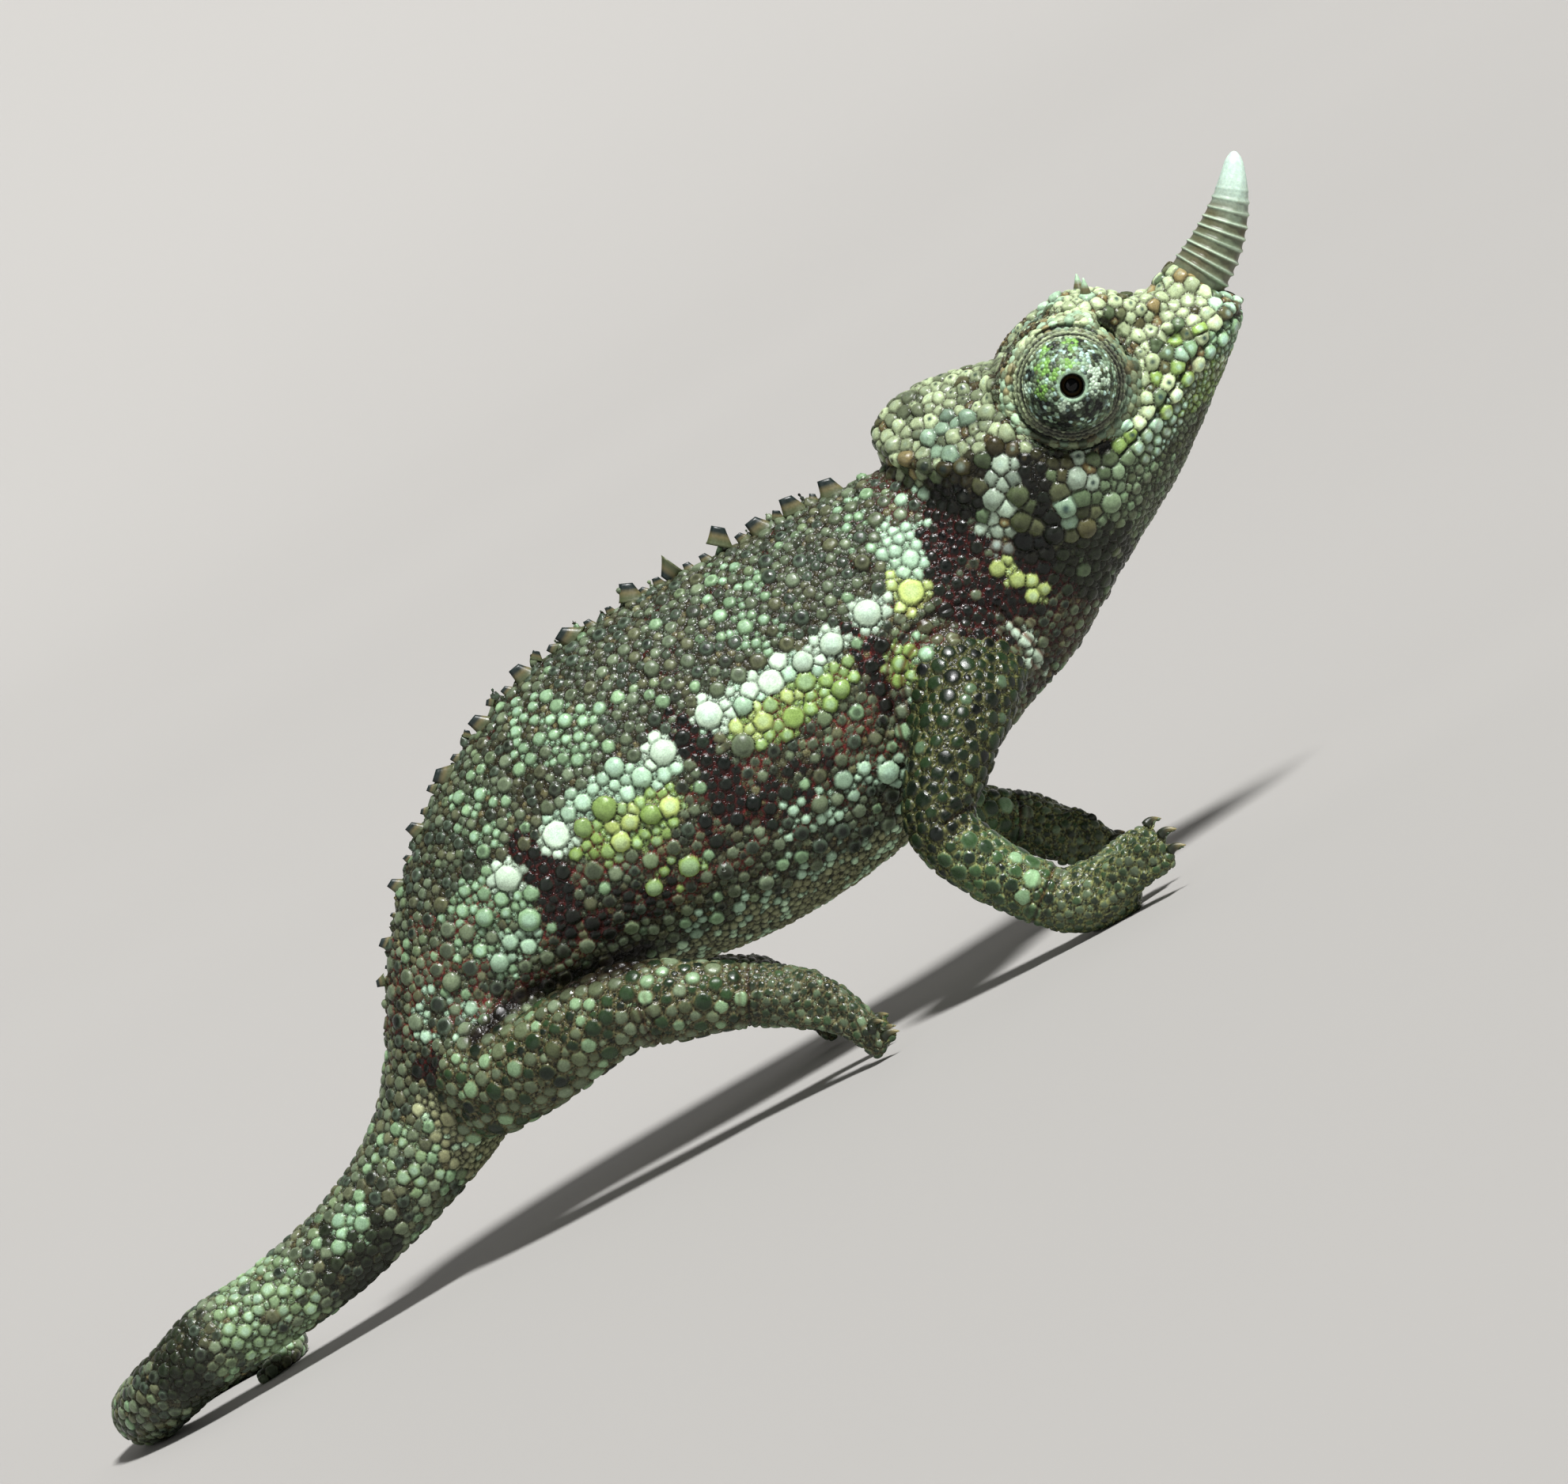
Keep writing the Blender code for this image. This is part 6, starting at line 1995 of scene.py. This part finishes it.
@dataclass
class Crest:
    """The row of spines along the back, and the spike over each eye.

    Args:
        skin: The skin that carries it.
        finish: The spines' material.
        height: Height of a large spine.
        around: Points round a spine.
        levels: Steps in its height.
    """

    skin: Skin
    finish: Material

    # Places of the large spines along the back.
    LARGE = (20.4, 17.5, 14.9, 11.9, 8.0, 4.7, -0.2, -4.4, -8.6, -12.5, -16.2, -19.3, -21.9, -23.6)
    height: float = 0.95
    around: int = 12
    levels: int = 8

    def build(self) -> Object:
        """Makes all spines as one piece."""
        draw = default_rng(14)
        made = []
        places = [(x, 1.0) for x in self.LARGE]
        for one, two in zip(self.LARGE, self.LARGE[1:]):
            gap = one - two
            shares = (0.5,) if gap < 3.2 else (0.36, 0.7)
            places += [(one - gap * share, 0.5) for share in shares]
        for x, size in places:
            fade = 1 - 0.45 * max(0.0, -x - 8.0) / 16.0
            size *= fade * draw.uniform(0.86, 1.12)
            made.append(self._spine(x, size, draw.uniform(-0.12, 0.12)))
        shells, tints = zip(*made, *(self._spike(side) for side in (RIGHT, LEFT)))
        mesh = joined(shells, "crest")
        mesh.transform(self.skin.body.matrix())
        paint(mesh, np.concatenate(tints))
        return object_of("crest_spines", mesh, self.finish)

    def _spine(self, x: float, size: float, shift: float) -> tuple[Mesh, Array]:
        """One blunt spine with a steep rear face and a long front slope."""
        top, normal, _, _ = self.skin.tree.ray_cast(Vector((x, 0.0, 80.0)), Vector((0, 0, -1)))
        normal = Vector((normal.x, 0, normal.z)).normalized()
        back = Vector((-normal.z, 0, normal.x))
        return self._cone(top, normal, back, size, (0.74, 0.42, self.height * size), shift)

    def _spike(self, side: int) -> tuple[Mesh, Array]:
        """The small spike over one eye."""
        top, _, _, _ = self.skin.tree.ray_cast(Vector((42.3, side * 3.5, 80.0)), Vector((0, 0, -1)))
        up = Vector((0.5, side * 0.12, 0.86)).normalized()
        back = Vector((-up.z, 0, up.x))
        return self._cone(top, up, back, 0.55, (1.0, 0.9, 1.15), 0.0, blunt=False)

    def _cone(
        self, root: Vector, up: Vector, back: Vector, size: float, shape: tuple[float, float, float],
        shift: float, blunt: bool = True,
    ) -> tuple[Mesh, Array]:
        """A leaning block or a pointed cone, sunk into the skin.

        Args:
            root: Its place on the skin.
            up: Its direction.
            back: The direction it leans to.
            size: Its size.
            shape: Half length, half width and height.
            shift: How far its top leans to one side.
            blunt: Whether it is a block with a flat top.

        Returns:
            Its mesh and its tint.
        """
        long, wide, high = shape
        across = up.cross(back)
        rings = []
        for level in range(self.levels + 1):
            t = level / self.levels
            width = 1.3 - 0.68 * t**0.8 if blunt else 1 - 0.9 * t
            rise = up * (high * 1.3 * t - 0.3 * high)
            centre = root + rise + back * (0.5 * long * size * t)
            ring = []
            for k in range(self.around):
                a = tau * k / self.around
                square = (abs(cos(a)) ** 4 + abs(sin(a)) ** 4) ** -0.25 if blunt else 1.0
                along = long * size * width * cos(a) * square
                aside = wide * size * width * sin(a) * square + shift * t
                ring.append(centre + back * along + across * aside)
            rings.append(ring)
        mesh = polar_shell(np.asarray(rings), (True, True))
        points = Surface.of(mesh).points
        level = np.clip(((points - np.asarray(root)) @ np.asarray(up)) / high, 0, 1)
        tint = blend(Tone.OLIVE, Tone.SAND * 0.5, smoothstep(0.05, 0.35, level))
        tip = Tone.TEAL * 0.35 if blunt else Tone.MINT
        return mesh, blend(tint, tip, smoothstep(0.35, 0.7, level))


@dataclass
class Claws:
    """Claws at the tips of all toes, found on the CAD feet.

    Args:
        body: The body's measure.
        finish: Their material.
        reach: Length of a CAD claw in which its direction is measured.
        ring: Fewest vertices at a CAD claw's tip.
        length: Length of a claw.
        around: Points round it.
        levels: Steps in its length.
    """

    body: Body
    finish: Material

    reach: float = 0.8
    ring: int = 4
    length: float = 1.25
    around: int = 10
    levels: int = 9

    FEET = ("hand_right", "hand_left", "foot_right", "foot_left")

    def build(self) -> Object:
        """Makes all claws as one piece."""
        tips = [found for name in self.FEET for found in self._tips(name)]
        LOG.info("%d claws", len(tips))
        shells, tints = zip(*(self._claw(tip, way) for tip, way in tips))
        mesh = joined(shells, "claws")
        mesh.transform(self.body.matrix())
        paint(mesh, np.concatenate(tints))
        return object_of("claws", mesh, self.finish)

    def _tips(self, name: str) -> list[tuple[Vector, Vector]]:
        """Ends of a foot's claws, with the way that each points."""
        verts = self.body.to_body(np.array([v.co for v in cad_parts[name].data.vertices]))
        verts = np.unique(verts.round(4), axis=0)
        found: list[tuple[Vector, Vector]] = []
        for place in verts[np.argsort(-verts[:, 0])]:
            offset = verts - place
            far = np.linalg.norm(offset, axis=1)
            beside = np.hypot(offset[:, 1], offset[:, 2])
            hidden = ((beside < 0.45) & (offset[:, 0] > 0.12)).any()
            behind = (far > 0.25) & (far < self.reach)
            if hidden or (far < 0.16).sum() < self.ring or not behind.any():
                continue
            tip = Vector(place)
            if any((tip - other).length < 0.6 for other, _ in found):
                continue
            found.append((tip, Vector(place - verts[behind].mean(axis=0)).normalized()))
        return found

    def _claw(self, tip: Vector, way: Vector) -> tuple[Mesh, Array]:
        """One curved claw that ends at a tip."""
        flat = Vector((way.x, way.y, 0)).normalized()
        across = Vector((0, 0, 1)).cross(flat)
        rings = []
        for level in range(self.levels + 1):
            t = level / self.levels
            slope = radians(22) * (2 * t - 0.7)
            ahead = flat * cos(slope) - Vector((0, 0, 1)) * sin(slope)
            back = self.length * (1 - t)
            arch = 0.26 * sin(pi * (0.15 + 0.85 * t)) - 0.02
            centre = tip - flat * back + Vector((0, 0, arch))
            radius = 0.34 * (1 - t**1.4) + 0.03
            rise = across.cross(ahead).normalized() * -1
            ring = []
            for k in range(self.around):
                a = tau * k / self.around
                place = centre + rise * radius * cos(a) + across * radius * 0.8 * sin(a)
                place.z = max(place.z, 0.02)
                ring.append(place)
            rings.append(ring)
        mesh = polar_shell(np.asarray(rings), (True, True))
        points = Surface.of(mesh).points
        share = np.clip(1 - np.linalg.norm(points - np.asarray(tip), axis=1) / self.length, 0, 1)
        return mesh, blend(Tone.MOSS * 0.7, Tone.SAND, smoothstep(0.25, 0.95, share))


@dataclass
class Studio:
    """Floor, soft lights and the camera.

    Args:
        body: The body's measure.
        floor: The floor's material.
        focus_x: Place along the body at the picture's middle, in millimetres.
        focus_z: Its height on the picture's plane.
        view_width: Width that the picture shows.
        roll: The camera's roll.
        elevation: Its angle above the floor.
        distance: Its distance.
        bend_start: Where the floor begins to sweep up, in metres behind the model.
        bend: Radius of the sweep, in metres.
    """

    body: Body
    floor: Material

    focus_x: float = 8.76
    focus_z: float = 21.02
    view_width: float = 109.0
    roll: float = radians(30)
    elevation: float = radians(5)
    distance: float = 900.0
    bend_start: float = 0.9
    bend: float = 0.9

    def build(self) -> None:
        """Makes the stage and the camera."""
        self._backdrop()
        self._lights()
        self._camera()

    def axes(self) -> tuple[Vector, Vector, Vector]:
        """The image's right and up and the camera's line of sight."""
        level = Vector((1, 0, 0))
        rise = Vector((0, sin(self.elevation), cos(self.elevation)))
        look = Vector((0, cos(self.elevation), -sin(self.elevation)))
        right = level * cos(self.roll) - rise * sin(self.roll)
        up = level * sin(self.roll) + rise * cos(self.roll)
        return right, up, look

    def _backdrop(self) -> None:
        """A floor that sweeps up into a wall behind the model."""
        bm = bmesh.new()
        line = [(-1.6, 0.0), (self.bend_start, 0.0)]
        for k in range(1, 33):
            turn = pi / 2 * k / 32
            line.append((self.bend_start + self.bend * sin(turn), self.bend * (1 - cos(turn))))
        line.append((self.bend_start + self.bend, 4.0))
        verts = [bm.verts.new((-4.0, y, z)) for y, z in line]
        edges = [bm.edges.new(pair) for pair in zip(verts, verts[1:])]
        made = bmesh.ops.extrude_edge_only(bm, edges=edges)
        far = [item for item in made["geom"] if isinstance(item, bmesh.types.BMVert)]
        bmesh.ops.translate(bm, verts=far, vec=(8.0, 0.0, 0.0))
        bmesh.ops.recalc_face_normals(bm, faces=bm.faces[:])
        mesh = mesh_of(bm, "floor")
        mesh.materials.append(self.floor)
        floor = linked("floor", mesh)

    def _lights(self) -> None:
        """A soft high key light from ahead, a weak fill and a rim light, in a pale room."""
        for name, way, angle, strength in (
            ("key", (0.5, -0.55, 1.05), 11, 5.6),
            ("fill", (-0.7, -0.9, 0.3), 50, 0.45),
            ("rim", (-0.1, 0.9, 0.8), 30, 0.8),
        ):
            light = bpy.data.lights.new(name, "SUN")
            light.angle = radians(angle)
            light.energy = strength
            lamp = linked(name, light)
            lamp.rotation_euler = (-Vector(way)).to_track_quat("-Z", "Y").to_euler()
        world = bpy.data.worlds.new("room")
        world.use_nodes = True
        world.node_tree.nodes["Background"].inputs["Color"].default_value = (0.9, 0.92, 0.94, 1.0)
        world.node_tree.nodes["Background"].inputs["Strength"].default_value = 0.13
        bpy.context.scene.world = world
        bpy.context.scene.view_settings.view_transform = "Standard"

    def _camera(self) -> None:
        """A long lens at the photograph's angle."""
        right, up, look = self.axes()
        rise = Vector((0, sin(self.elevation), cos(self.elevation)))
        focus = Vector(self.body.shift) + Vector((self.focus_x, 0, 0)) + rise * self.focus_z
        camera = bpy.data.cameras.new("camera")
        camera.sensor_width = 36.0
        camera.lens = camera.sensor_width * self.distance / self.view_width
        camera.clip_start = 0.01
        camera.clip_end = 20.0
        view = linked("camera", camera)
        pose = Matrix((right, up, -look)).transposed().to_4x4()
        pose.translation = (focus - look * self.distance) * MM
        view.matrix_world = pose
        bpy.context.scene.camera = view


def main() -> None:
    """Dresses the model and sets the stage."""
    logging.basicConfig(level=logging.INFO, format="%(name)s: %(message)s")
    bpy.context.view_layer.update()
    body = Body.from_eyes()
    skin_finish = SkinFinish().build()
    lid_finish = SkinFinish(name="lid_skin", roughness=0.46).build()
    horn_finish = HornFinish().build()
    eye_finish = EyeFinish().build()
    skin = Skin(body, skin_finish)
    pieces = skin.build()
    for side in (RIGHT, LEFT):
        pieces.append(EyeTurret(skin, lid_finish, side).build())
        pieces.append(Eyeball(body, eye_finish, side).build())
    pieces.append(Horn(body, horn_finish).build())
    pieces.append(Crest(skin, HornFinish(name="spine_horn", roughness=0.36).build()).build())
    pieces.append(Claws(body, HornFinish(name="claw_horn", roughness=0.38).build()).build())
    for piece in pieces:
        LOG.info("%s has %d faces", piece.name, len(piece.data.polygons))
    Studio(body, FloorFinish().build()).build()


if __name__ == "__main__":
    main()
